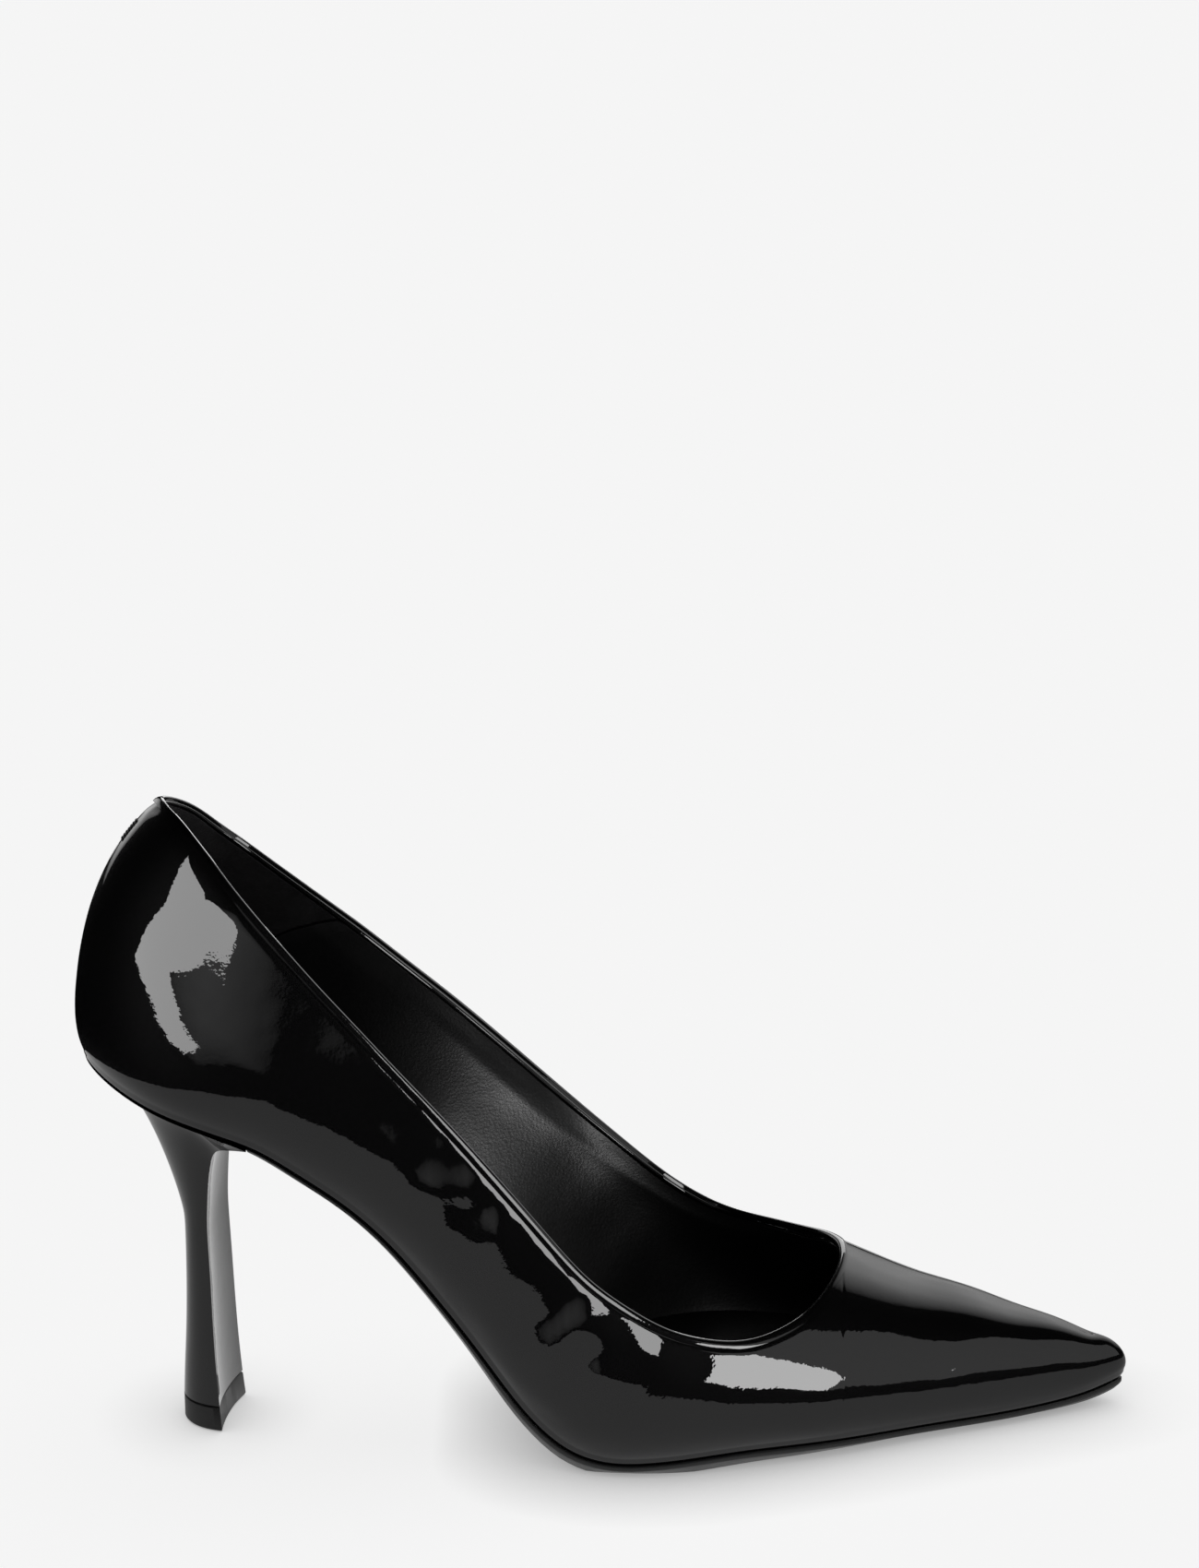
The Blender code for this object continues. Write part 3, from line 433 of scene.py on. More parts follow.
def sheet_mesh(cells, outside, inside, top_row, join_back):
    """Vertices and faces of a grid of cells closed between an outside and an inside surface.

    outside and inside hold one grid of points for each side of the shoe. The sides meet at the toe, along the
    top row ahead of the throat, and also at the back if join_back is set.
    """
    index, vertices, faces, edges = {}, [], [], set()

    def corner(side, i, row):
        if i == LAST or (row == top_row and i >= JOIN) or (join_back and i == 0):
            knot = (0, i, row)
        else:
            knot = (side, i, row)
        if knot not in index:
            index[knot] = len(vertices)
            vertices.append(outside[side][i, row])
            vertices.append(inside[side][i, row])
        return index[knot]

    for side, i, row in cells:
        loop = [corner(side, i, row), corner(side, i + 1, row),
                corner(side, i + 1, row + 1), corner(side, i, row + 1)]
        if side == INNER:
            loop.reverse()
        faces.append(loop)
        faces.append([k + 1 for k in reversed(loop)])
        edges.update((a, b) for a, b in zip(loop, loop[1:] + loop[:1]) if a != b)
    for a, b in edges:
        if (b, a) not in edges:
            faces.append([b, a, a + 1, b + 1])
    return vertices, faces


def span_cells(side, first, last, low, high):
    """Cells of one side between two stations and two rows."""
    return [(side, i, row) for i in range(first, last) for row in range(low, high)]


def sweep(rings, closed=False):
    """Vertices and faces of a body swept through rings of equal size, its ends closed by fans."""
    corners = len(rings[0])
    vertices = [p for ring in rings for p in ring]
    faces = []
    spans = len(rings) if closed else len(rings) - 1
    for i in range(spans):
        a, b = i * corners, (i + 1) % len(rings) * corners
        for k in range(corners):
            n = (k + 1) % corners
            faces.append([a + k, a + n, b + n, b + k])
    if not closed:
        for base, ring in ((0, rings[0]), ((len(rings) - 1) * corners, rings[-1])):
            if np.ptp(np.array(ring)[:, 1]) > 0.01:
                faces += [[base + k, base + (k + 1) % corners, len(vertices)] for k in range(corners)]
                vertices.append(np.mean(ring, axis=0))
    return vertices, faces


# ---- Materials
def new_paint(name, colour, rough, **inputs):
    """Principled material; inputs are more of its values, by name."""
    paint = bpy.data.materials.new(name)
    paint.use_nodes = True
    sockets = paint.node_tree.nodes["Principled BSDF"].inputs
    for key, value in dict(inputs, Base_Color=(*colour, 1.0), Roughness=rough).items():
        sockets[key.replace("_", " ")].default_value = value
    return paint, paint.node_tree


def feed(tree, **sockets):
    """Drive inputs of the material's shader, by name."""
    for key, socket in sockets.items():
        tree.links.new(socket, tree.nodes["Principled BSDF"].inputs[key.replace("_", " ")])


def node(tree, kind, links=(), **values):
    """Add a node; links are (input name, output socket), values go to its own properties or inputs."""
    made = tree.nodes.new(kind)
    for key, value in values.items():
        if hasattr(made, key):
            setattr(made, key, value)
        else:
            made.inputs[key.replace("_", " ")].default_value = value
    for name, socket in links:
        tree.links.new(socket, made.inputs[name])
    return made


def place(tree):
    """Position on the object, in metres."""
    return node(tree, "ShaderNodeTexCoord").outputs["Object"]


def noise_at(tree, where, size, detail=2.0, roughness=0.5, distortion=0.0):
    """Noise whose features are about size metres."""
    made = node(tree, "ShaderNodeTexNoise", [("Vector", where)], Scale=1.0 / size, Detail=detail,
                Roughness=roughness, Distortion=distortion)
    return made.outputs["Fac"]


def ramp(tree, factor, low, high, low_colour, high_colour):
    """Colour that runs from one to another between two values of a factor."""
    made = node(tree, "ShaderNodeValToRGB", [("Fac", factor)])
    made.color_ramp.elements[0].position = low
    made.color_ramp.elements[1].position = high
    made.color_ramp.elements[0].color = (*low_colour, 1.0)
    made.color_ramp.elements[1].color = (*high_colour, 1.0)
    return made.outputs["Color"]


def span(tree, factor, low, high):
    """Map a 0 to 1 factor to a range."""
    return node(tree, "ShaderNodeMapRange", [("Value", factor)], To_Min=low, To_Max=high).outputs["Result"]


def bump(tree, height, depth, strength=1.0, under=None):
    """Bump of a given depth in metres, over another bump if there is one."""
    links = [("Height", height)]
    if under is not None:
        links.append(("Normal", under))
    return node(tree, "ShaderNodeBump", links, Distance=depth, Strength=strength).outputs["Normal"]


def patent_leather():
    """Black leather under a thick clear film with a fine orange-peel surface."""
    paint, tree = new_paint("patent_leather", (0.0016, 0.0015, 0.0019), 0.5, Specular_IOR_Level=0.03,
                                    Coat_Weight=1.0, Coat_Roughness=0.008, Coat_IOR=1.5)
    where = place(tree)
    peel = noise_at(tree, where, 0.0008, detail=1.0)
    drape = noise_at(tree, where, 0.007, detail=1.0)
    grain = node(tree, "ShaderNodeTexVoronoi", [("Vector", where)], Scale=1400.0)
    film = bump(tree, peel, 0.0000055)
    film = bump(tree, drape, 0.00006, under=film)
    hide = bump(tree, grain.outputs["Distance"], 0.00005, 0.6)
    cloud = noise_at(tree, where, 0.02, detail=3.0)
    feed(tree, Coat_Normal=film, Normal=hide, Roughness=span(tree, cloud, 0.4, 0.6))
    return paint


def lining_leather():
    """Smooth black lining leather with a fine grain, pores and soft creases."""
    paint, tree = new_paint("lining_leather", (0.011, 0.0105, 0.0115), 0.36, Specular_IOR_Level=0.5)
    where = place(tree)
    grain = node(tree, "ShaderNodeTexVoronoi", [("Vector", where)], Scale=1600.0, Randomness=1.0)
    pores = noise_at(tree, where, 0.0005, detail=3.0, roughness=0.6)
    folds = noise_at(tree, where, 0.009, detail=3.0, roughness=0.55, distortion=0.6)
    rough = bump(tree, grain.outputs["Distance"], 0.00003, 0.8)
    rough = bump(tree, pores, 0.00002, 0.8, rough)
    rough = bump(tree, folds, 0.00012, 0.6, rough)
    tint = noise_at(tree, where, 0.012, detail=4.0)
    colour = ramp(tree, tint, 0.3, 0.75, (0.008, 0.0078, 0.0085), (0.015, 0.0145, 0.0155))
    feed(tree, Normal=rough, Base_Color=colour, Roughness=span(tree, pores, 0.3, 0.42))
    return paint


def suede():
    """Black suede grip: a short nap that catches light at its edge."""
    paint, tree = new_paint("suede", (0.012, 0.0115, 0.012), 0.95, Specular_IOR_Level=0.2,
                                    Sheen_Weight=0.35, Sheen_Roughness=0.55,
                                    Sheen_Tint=(0.75, 0.72, 0.75, 1.0))
    where = place(tree)
    nap = noise_at(tree, where, 0.0007, detail=5.0, roughness=0.75)
    patches = noise_at(tree, where, 0.008, detail=3.0, distortion=0.8)
    colour = ramp(tree, patches, 0.3, 0.7, (0.009, 0.0088, 0.0092), (0.017, 0.0165, 0.017))
    feed(tree, Normal=bump(tree, nap, 0.00025), Base_Color=colour)
    return paint


def sole_material():
    """Smooth black sole with a faint moulded grain and light scuffs."""
    paint, tree = new_paint("outsole_black", (0.012, 0.012, 0.0125), 0.38, Specular_IOR_Level=0.5)
    where = place(tree)
    grain = noise_at(tree, where, 0.0009, detail=4.0)
    scuff = noise_at(tree, where, 0.015, detail=6.0, roughness=0.7)
    feed(tree, Normal=bump(tree, grain, 0.00006), Roughness=span(tree, scuff, 0.28, 0.5))
    return paint


def top_piece_material():
    """Hard matte black plastic of the top piece."""
    paint, tree = new_paint("top_piece_black", (0.012, 0.0118, 0.012), 0.5, Specular_IOR_Level=0.45)
    where = place(tree)
    grain = noise_at(tree, where, 0.0006, detail=4.0)
    wear = noise_at(tree, where, 0.006, detail=4.0)
    feed(tree, Normal=bump(tree, grain, 0.00005), Roughness=span(tree, wear, 0.42, 0.6))
    return paint


def thread_material():
    """Waxed black sewing thread with twisted plies."""
    paint, tree = new_paint("black_thread", (0.012, 0.012, 0.013), 0.6, Sheen_Weight=0.2)
    plies = node(tree, "ShaderNodeTexWave", [("Vector", place(tree))], Scale=900.0,
                 bands_direction="DIAGONAL")
    feed(tree, Normal=bump(tree, plies.outputs["Fac"], 0.00005))
    return paint


def hidden_material(name, colour, rough, metal, size, depth):
    """Material of an inner piece: grainy colour and bump at its own scale."""
    paint, tree = new_paint(name, colour, rough, Metallic=metal)
    where = place(tree)
    grain = noise_at(tree, where, size, detail=5.0, roughness=0.65)
    dark = tuple(0.75 * c for c in colour)
    light = tuple(min(1.0, 1.2 * c) for c in colour)
    feed(tree, Base_Color=ramp(tree, grain, 0.3, 0.7, dark, light), Normal=bump(tree, grain, depth),
         Roughness=span(tree, grain, rough * 0.85, min(1.0, rough * 1.15)))
    return paint


PATENT = patent_leather()
LINING_PAINT = lining_leather()
SUEDE = suede()
SOLE_PAINT = sole_material()
TIP_PAINT = top_piece_material()
THREAD = thread_material()


# ---- Upper
def drape(points, size, depth, seed):
    """Slow uneven rise and fall of a skin, square to it, as leather pulled over a last has."""
    lift = np.array([noise.noise(Vector(p / size) + Vector((seed, 0, 0))) for p in points.reshape(-1, 3)])
    return (lift * depth).reshape(points.shape[:-1])


def grid_normals(points, side):
    """Directions square to a grid of points, outwards."""
    along = np.gradient(points, axis=0)
    up = np.gradient(points, axis=1)
    square = np.cross(along, up) * -side
    return square / (np.linalg.norm(square, axis=-1, keepdims=True) + 1e-9)


def wall_inset(x, v, side, depth):
    """Wall points where the inset differs from point to point."""
    near, far = wall(x, v, side, 0.0), wall(x, v, side, 1.0)
    return near + (far - near) * depth[..., None]


def shifted_stations(seams):
    """Stations, with those at the seams moved to make room for the gap."""
    x = STATIONS.copy()
    for i, shift in seams.items():
        x[i] += shift
    return x


def wall_grid(side, inset, seams, curl, waves=0.0):
    """Grid of wall points, stations by rows, that curls in at the top."""
    x = shifted_stations(seams)[:, None]
    v = ROWS[None, :] * EDGE_V[side][:, None]
    near_top = np.clip((ROWS - CURL_START) / (1 - CURL_START), 0, 1)[None, :] ** 2
    depth = inset + curl * near_top * open_share(STATIONS)[:, None]
    flat = wall_inset(x, v, side, depth)
    if waves:
        fade = np.clip(ROWS / 0.08, 0, 1) * np.clip((1 - ROWS) / 0.06, 0, 1)
        rise = drape(flat, 26.0, waves, 3.7 * side) + drape(flat, 11.0, 0.3 * waves, 9.1 * side)
        for spot, reach, size, depth_there in FLEX:
            near = np.exp(-(((flat - np.array(spot)) / np.array(reach)) ** 2).sum(axis=-1))
            rise += near * drape(flat, size, depth_there, 1.3 * side)
        flat = flat + grid_normals(flat, side) * (rise * fade[None, :])[..., None]
    return flat


def margin_inset(x):
    """How far the leather is folded in under the sole edge."""
    reach = plan(x, OUTER)[2][..., 0]
    return np.minimum(MARGIN_WIDTH, MARGIN_SHARE * reach)


def bottom_grid(x, side, inset, height):
    """Points above the bottom edge, inset from the sole outline, for a whole row of stations."""
    foot, centre, reach = plan(x, side)
    flat = foot + (centre - foot) / reach * inset[..., None]
    return np.column_stack([flat, level(flat[:, 0], height)])


# Turn of the leather under the sole edge: inset and height, after the row that is folded in furthest
OUTSIDE_TURN = [(1.2, MARGIN[0]), (0.55, 2.0), (0.15, 2.6)]
INSIDE_TURN = [(1.8, MARGIN[1]), (1.45, 2.9), (1.15, 3.05)]


def with_margin(side, walls, height, turn, seams):
    """Put the rows folded under the sole edge before the wall rows."""
    x = shifted_stations(seams)
    rows = [(margin_inset(x), height)] + [(np.full(len(x), inset), rise) for inset, rise in turn]
    under = np.stack([bottom_grid(x, side, inset, rise) for inset, rise in rows], axis=1)
    return np.concatenate([under, walls], axis=1)


def build_upper():
    """Patent outer: vamp with the outer side, and the quarter on the inner side."""
    quarter = station_index(QUARTER_SEAM)
    half = SEAM_GAP / 2
    high = MARGIN_ROWS + WALL_ROWS
    for name, seam in (("vamp", half), ("medial_quarter", -half)):
        outside, inside = {}, {}
        for side in BOTH:
            seams = {quarter: seam} if side == INNER else {}
            face = wall_grid(side, 0.0, seams, FACE_CURL, PATENT_WAVES)
            back = wall_grid(side, LEATHER, seams, BACK_CURL)
            outside[side] = with_margin(side, face, MARGIN[0], OUTSIDE_TURN, seams)
            inside[side] = with_margin(side, back, MARGIN[1], INSIDE_TURN, seams)
            outside[side][0, :, 1] += side * half
            inside[side][0, :, 1] += side * half
        if name == "vamp":
            cells = span_cells(OUTER, 0, LAST, 0, high) + span_cells(INNER, quarter, LAST, 0, high)
        else:
            cells = span_cells(INNER, 0, quarter, 0, high)
        vertices, faces = sheet_mesh(cells, outside, inside, high, False)
        piece(name + "_patent", vertices, faces, PATENT, "patent", [name])


def slanted(x, seam_x):
    """Stations of the lining grid: the heel lining's seam runs back as it goes down the wall."""
    drop = 1 - ROWS ** 2
    weight = np.interp(x, [SHOE_BACK, seam_x, 2.2 * seam_x], [0, 1, 0])
    return x[:, None] - LINING_SLANT * drop[None, :] * weight[:, None]


def lining_grid(side, inset, top_inset, seam, shift, waves=0.0, lip=0.0):
    """Grid of lining points; shift moves the seam column, lip raises its edge off the wall."""
    x = slanted(STATIONS, STATIONS[seam])
    x[seam] += shift
    edge = np.interp(x, STATIONS, EDGE_V[side])
    v = ROWS[None, :] * edge
    near_top = np.clip((ROWS - LINING_RISE_START) / (1 - LINING_RISE_START), 0, 1)[None, :]
    depth = inset + (top_inset - inset) * near_top * open_share(x)
    depth[seam] += lip
    flat = wall_inset(x, v, side, depth)
    if waves:
        fade = np.clip(ROWS / 0.1, 0, 1) * np.clip((1 - ROWS) / 0.08, 0, 1)
        rise = drape(flat, 30.0, waves, 5.1 * side) + drape(flat, 12.0, 0.45 * waves, 2.3 * side)
        for spot, size, depth_there in LINING_DENTS[side]:
            rise -= depth_there * np.exp(-((flat - np.array(spot)) ** 2).sum(axis=-1) / size ** 2)
        flat = flat - grid_normals(flat, side) * (rise * fade[None, :])[..., None]
    return flat


def build_linings():
    """Suede round the heel, smooth leather ahead of it."""
    seam = station_index(LINING_SEAM)
    half = SEAM_GAP / 2
    finishes = {"heel_lining": (SUEDE, "suede", -half, 0.0, (0, seam)),
                "vamp_lining": (LINING_PAINT, "lining", half, LINING_LIP, (seam, LAST))}
    for name, (paint, slot, shift, lip, spans) in finishes.items():
        outside, inside = {}, {}
        for side in BOTH:
            outside[side] = lining_grid(side, LINING[0], LINING_AT_TOP[0], seam, shift)
            inside[side] = lining_grid(side, LINING[1], LINING_AT_TOP[1], seam, shift, LINING_WAVES, lip)
        cells = [c for side in BOTH for c in span_cells(side, *spans, 0, WALL_ROWS)]
        vertices, faces = sheet_mesh(cells, outside, inside, WALL_ROWS, True)
        piece(name + "_skin", vertices, faces, paint, slot, [name])


# Section of the rolled topline: across from the outside face to the lining (0 to 1), and up
ROLL = [(0.02, -1.7), (-0.10, -1.1), (-0.12, -0.5), (-0.02, 0.05), (0.18, 0.32), (0.38, 0.22), (0.52, -0.12),
        (0.62, -0.18), (0.74, 0.10), (0.90, 0.12), (1.04, -0.15), (1.08, -0.6), (1.02, -1.3)]
TOPLINE_STEPS = 420


def topline_loop():
    """Topline as one loop, evenly spaced: its points and the matching lining points."""
    at_throat = np.sin(np.linspace(0, math.pi / 2, 80)[1:])
    x = np.concatenate([np.linspace(SHOE_BACK, 12, 40), np.linspace(12, THROAT_START, 150)[1:],
                        THROAT_START + (THROAT - THROAT_START) * at_throat])
    outside, inside = [], []
    for side, order in ((OUTER, slice(None)), (INNER, slice(-2, 0, -1))):
        v = top_v(x, side)
        inset = LINING[1] + (LINING_AT_TOP[1] - LINING[1]) * open_share(x)
        outside.append(wall(x, v, side)[order])
        inside.append(wall_inset(x, v, side, inset)[order])
    lines = [np.vstack([line, line[:1]]) for line in (np.concatenate(outside), np.concatenate(inside))]
    along = np.concatenate([[0], np.cumsum(np.linalg.norm(np.diff(lines[0], axis=0), axis=1))])
    even = np.linspace(0, along[-1], TOPLINE_STEPS, endpoint=False)
    return [np.column_stack([np.interp(even, along, line[:, k]) for k in range(3)]) for line in lines]


def soften(line, times):
    """Even out a closed line of points."""
    for _ in range(times):
        line = (np.roll(line, 1, axis=0) + 2 * line + np.roll(line, -1, axis=0)) / 4
    return line


def build_binding():
    """Rolled edge round the opening: an outer bead, a groove, and the rolled edge of the lining."""
    outside, inside = topline_loop()
    outside, inside = soften(outside, 6), soften(inside, 6)
    ahead = np.roll(outside, -1, axis=0) - np.roll(outside, 1, axis=0)
    across = inside - outside
    width = np.linalg.norm(across, axis=1)
    across = across / width[:, None]
    up = np.cross(ahead, across)
    up = up / np.linalg.norm(up, axis=1)[:, None]
    rings = []
    for spot, across_there, up_there, wide in zip(outside, across, up, width):
        rings.append([spot + across_there * a * wide + up_there * b for a, b in ROLL])
    vertices, faces = sweep(rings, closed=True)
    piece("topline_roll", vertices, faces, PATENT, "patent", ["topline_binding"], sharp=60)


def build_back_stitches():
    """Bar of stitches across the back seam: short arched threads lying side by side."""
    vertices, faces = [], []
    bend = math.radians(STITCH_BEND)
    for share in np.linspace(*STITCH_SPAN, STITCHES):
        base = wall(SHOE_BACK, share * EDGE_V[OUTER][0], OUTER)
        out = wall(SHOE_BACK, share * EDGE_V[OUTER][0], OUTER, -1.0) - base
        out = out / np.linalg.norm(out)
        across = np.array([0.0, 1.0, 0.0])
        up = np.cross(across, out)
        rings = []
        for turn in np.linspace(-bend, bend, 11):
            lift = STITCH_LIFT * (math.cos(turn) - math.cos(bend)) / (1 - math.cos(bend)) - STITCH_DIP
            spot = base + across * (STITCH_REACH * math.sin(turn) / math.sin(bend)) + out * lift
            square = out * math.cos(turn) + across * math.sin(turn)
            rings.append([spot + THREAD_RADIUS * (square * math.cos(around) + up * math.sin(around))
                          for around in np.linspace(0, 2 * math.pi, 13)[:-1]])
        thread, thread_faces = sweep(rings)
        faces += [[k + len(vertices) for k in face] for face in thread_faces]
        vertices += thread
    piece("back_stitches", vertices, faces, THREAD, "thread", ["back_bartack"])


# ---- Bottom
def strip(x, inset, heights, steps):
    """Ring across a layer of the bottom at a station: along its lower face, then back along its upper one."""
    low, high = heights
    left, right = (bottom_grid(np.array([x]), side, np.array([inset]), low)[0] for side in BOTH)
    parts = np.linspace(0, 1, steps + 1)
    ring = []
    for height, shares in ((low, parts), (high, parts[::-1])):
        for part in shares:
            spot = left + (right - left) * part
            ring.append(np.array([spot[0], spot[1], level(spot[0], height)]))
    return ring


def toe_inset(x, inset):
    """Inset of the sock and the pad, which draw in a little more at the toe."""
    return inset + SOCK_TOE_INSET * float(np.clip((x - TOE_EASE[0]) / (TOE_EASE[1] - TOE_EASE[0]), 0, 1))


def build_footbed():
    """Foam pad and the sock leather over it."""
    short = [x for x in STATIONS if x <= TOE_PIVOT]
    foam = hidden_material("latex_foam", (0.62, 0.57, 0.47), 0.9, 0.0, 0.0008, 0.0001)
    rings = [strip(x, toe_inset(x, BOTTOM_INSET + SEAM_GAP), PAD, 8) for x in short]
    piece("footbed_foam", *sweep(rings), foam, "foam", ["footbed_pad"], padded=0.9)
    rings = [strip(x, toe_inset(x, BOTTOM_INSET), SOCK, 12) for x in short]
    piece("sock_leather", *sweep(rings), LINING_PAINT, "lining", ["sock_lining"])


TREAD = spline(TREAD_CROWN)


def sole_ring(x):
    """Section of the outsole: a thin upright edge with eased corners, and a crowned tread."""
    crown = float(TREAD(x))
    reach = float(plan(x, OUTER)[2][0])
    edge = min(TREAD_EDGE, 0.35 * reach)
    share = float(np.interp(x, *np.array(SOLE_SHARE).T))
    rows = [(SOLE_INSET + 0.25, SOLE_TOP), (SOLE_INSET, SOLE_TOP - 0.3 * share),
            (SOLE_INSET, SOLE_TOP - 1.15 * share), (SOLE_INSET + 0.3, SOLE_TOP * (1 - share)),
            (0.5 * (SOLE_INSET + edge), -0.72 * crown * share), (edge, -crown * share)]
    corners = []
    for side, order in ((OUTER, rows), (INNER, rows[::-1])):
        for inset, height in order:
            spot = plan(x, side, inset)[0]
            corners.append(np.array([spot[0], spot[1], max(0.0, float(level(spot[0], height)))]))
    return corners


def build_outsole():
    """Outsole from the heel's breast to the toe."""
    start = BREAST + SOLE_GAP
    rings = [sole_ring(x) for x in [start] + [x for x in STATIONS if x > start]]
    piece("outsole_black", *sweep(rings), SOLE_PAINT, "rubber", ["outsole"], sharp=50)


# ---- Heel
HEEL_CURVES = [spline(np.array(HEEL_ROWS)[:, [0, k]]) for k in (1, 2, 3, 4)]
SHAFT_TOP = HEEL_ROWS[-1][0]


def heel_ring(z):
    """Corners of the heel at a height: round the back, then along the hollow breast."""
    x, y, half, depth = (float(curve(z)) for curve in HEEL_CURVES)
    ahead = np.array([math.cos(HEEL_TWIST), math.sin(HEEL_TWIST)])
    across = np.array([-ahead[1], ahead[0]])
    spots = []
    for turn in np.linspace(0, math.pi, HEEL_CORNERS + 1):
        spots.append((-depth * math.sin(turn) ** HEEL_ROUNDNESS, -half * math.cos(turn)))
    for part in np.linspace(0, 1, BREAST_CORNERS + 2)[1:-1]:
        spots.append((-BREAST_HOLLOW * 4 * part * (1 - part), half - 2 * half * part))
    return np.array([[x, y] + a * ahead + b * across for a, b in spots])


def seat_ring():
    """Corners of the heel seat, in the same order as heel_ring."""
    step = np.linspace(0, 8, HEEL_CORNERS // 2 + 1)
    round_back = SHOE_BACK + (HEEL_PIVOT - SHOE_BACK) * (1 - np.cos((8 - step) * math.pi / 12))
    stations = np.where(step < 2, BREAST - (BREAST - HEEL_PIVOT) * step / 2, round_back)
    outer = plan(stations, OUTER, SOLE_INSET)[0]
    inner = plan(stations[::-1][1:], INNER, SOLE_INSET)[0]
    line = np.concatenate([outer, inner])
    parts = np.linspace(0, 1, BREAST_CORNERS + 2)[1:-1]
    front = line[-1] + (line[0] - line[-1]) * parts[:, None]
    return np.concatenate([line, front])


def cup_ring(part):
    """Ring of the flare, a part of the way from the shaft to the seat."""
    top, seat = heel_ring(SHAFT_TOP), seat_ring()
    turned_back = np.zeros(len(top))
    around_back = np.sin(np.linspace(0, math.pi, HEEL_CORNERS + 1))
    turned_back[:HEEL_CORNERS + 1] = np.clip(around_back, 0, 1) ** CUP_SPREAD
    power = CUP_POWER[1] + (CUP_POWER[0] - CUP_POWER[1]) * turned_back
    shelf = CUP_SHELF * (1 - turned_back)
    drop = level(top[:, 0], SOLE_TOP) - SHAFT_TOP - shelf
    spots = top + (seat - top) * part
    fall = drop * (1 - part) ** power + shelf * (1 - CUP_SHELF_FALL * part)
    return np.column_stack([spots, level(spots[:, 0], SOLE_TOP) - fall])


def at_height(ring, z):
    """Flat ring lifted to a height."""
    return np.column_stack([ring, np.full(len(ring), z)])


def heel_rings():
    """Rings of the heel from its tip to the seat, evened out along the heel."""
    shaft = np.linspace(TOP_PIECE_HEIGHT + SEAM_GAP, SHAFT_TOP, SHAFT_RINGS)
    rings = [at_height(heel_ring(z), z) for z in shaft]
    rings += [cup_ring(part) for part in np.linspace(0, 1, CUP_RINGS + 1)[1:] ** 1.5]
    rings = np.array(rings)
    for _ in range(HEEL_SMOOTHING):
        rings[1:-1] = (rings[:-2] + 2 * rings[1:-1] + rings[2:]) / 4
    return list(rings)


def build_heel():
    """Patent heel in one skin, and the top piece with its edges eased."""
    piece("heel_patent", *sweep(heel_rings()), PATENT, "patent", ["heel_cover", "heel_core"], sharp=34)
    rings = []
    for z, grow in TOP_PIECE_EDGES:
        ring = heel_ring(z)
        way = ring - ring.mean(axis=0)
        rings.append(at_height(ring + way / np.linalg.norm(way, axis=1)[:, None] * grow, z))
    piece("top_piece_tip", *sweep(rings), TIP_PAINT, "rubber", ["top_piece"], sharp=34)


# ---- Inner pieces kept from the CAD model
def finish_hidden_nodes():
    """Materials of the inner pieces: colour, roughness, metal, and size and depth of the grain."""
    finishes = {
        "heel_counter": ("counter_board", (0.30, 0.22, 0.14), 0.85, 0.0, 0.0006, 0.0001),
        "toe_puff": ("puff_board", (0.32, 0.25, 0.17), 0.85, 0.0, 0.0006, 0.0001),
        "vamp_interlining": ("cotton_backing", (0.42, 0.40, 0.37), 0.95, 0.0, 0.0005, 0.0001),
        "insole_board": ("insole_fibreboard", (0.40, 0.29, 0.18), 0.85, 0.0, 0.0009, 0.0001),
        "bottom_filler": ("cork_filler", (0.33, 0.21, 0.12), 0.9, 0.0, 0.0015, 0.0003),
        "steel_shank": ("spring_steel", (0.42, 0.43, 0.45), 0.35, 1.0, 0.002, 0.00002),
        "heel_dowel": ("drawn_steel", (0.55, 0.55, 0.56), 0.3, 1.0, 0.001, 0.00001),
        "heel_screw": ("screw_steel", (0.50, 0.50, 0.50), 0.35, 1.0, 0.0008, 0.00002),
        "top_piece_pin": ("pin_steel", (0.55, 0.55, 0.56), 0.3, 1.0, 0.0008, 0.00001),
    }
    for number in range(1, 3):
        finishes[f"shank_rivet_{number}"] = ("rivet_brass", (0.66, 0.48, 0.22), 0.3, 1.0, 0.001, 0.00002)
    for number in range(1, 5):
        finishes[f"heel_nail_{number}"] = ("nail_steel", (0.45, 0.45, 0.46), 0.4, 1.0, 0.0008, 0.00002)
    paints = {}
    for name, (paint_name, *look) in finishes.items():
        if paint_name not in paints:
            paints[paint_name] = hidden_material(paint_name, *look)
        materials = frame["nodes"][name].data.materials
        materials.clear()
        materials.append(paints[paint_name])


# ---- Studio
def staged(name, points, faces, paint):
    """Object of the studio, not of the shoe."""
    data = bpy.data.meshes.new(name)
    data.from_pydata([tuple(p) for p in points], [], faces)
    data.materials.append(paint)
    made = add_object(name, data)
    return made


def disc(name, radius, z, paint):
    """Flat round sheet round the origin."""
    turns = np.linspace(0, 2 * math.pi, 97)[:-1]
    rim = [(radius * math.cos(turn), radius * math.sin(turn), z) for turn in turns]
    return staged(name, rim, [list(range(len(rim)))], paint)


def only_in_gloss(made):
    """Seen in reflections alone: it neither lights the shoe nor shows in the picture."""
    made.visible_camera = False
    made.visible_diffuse = False
    made.visible_shadow = False


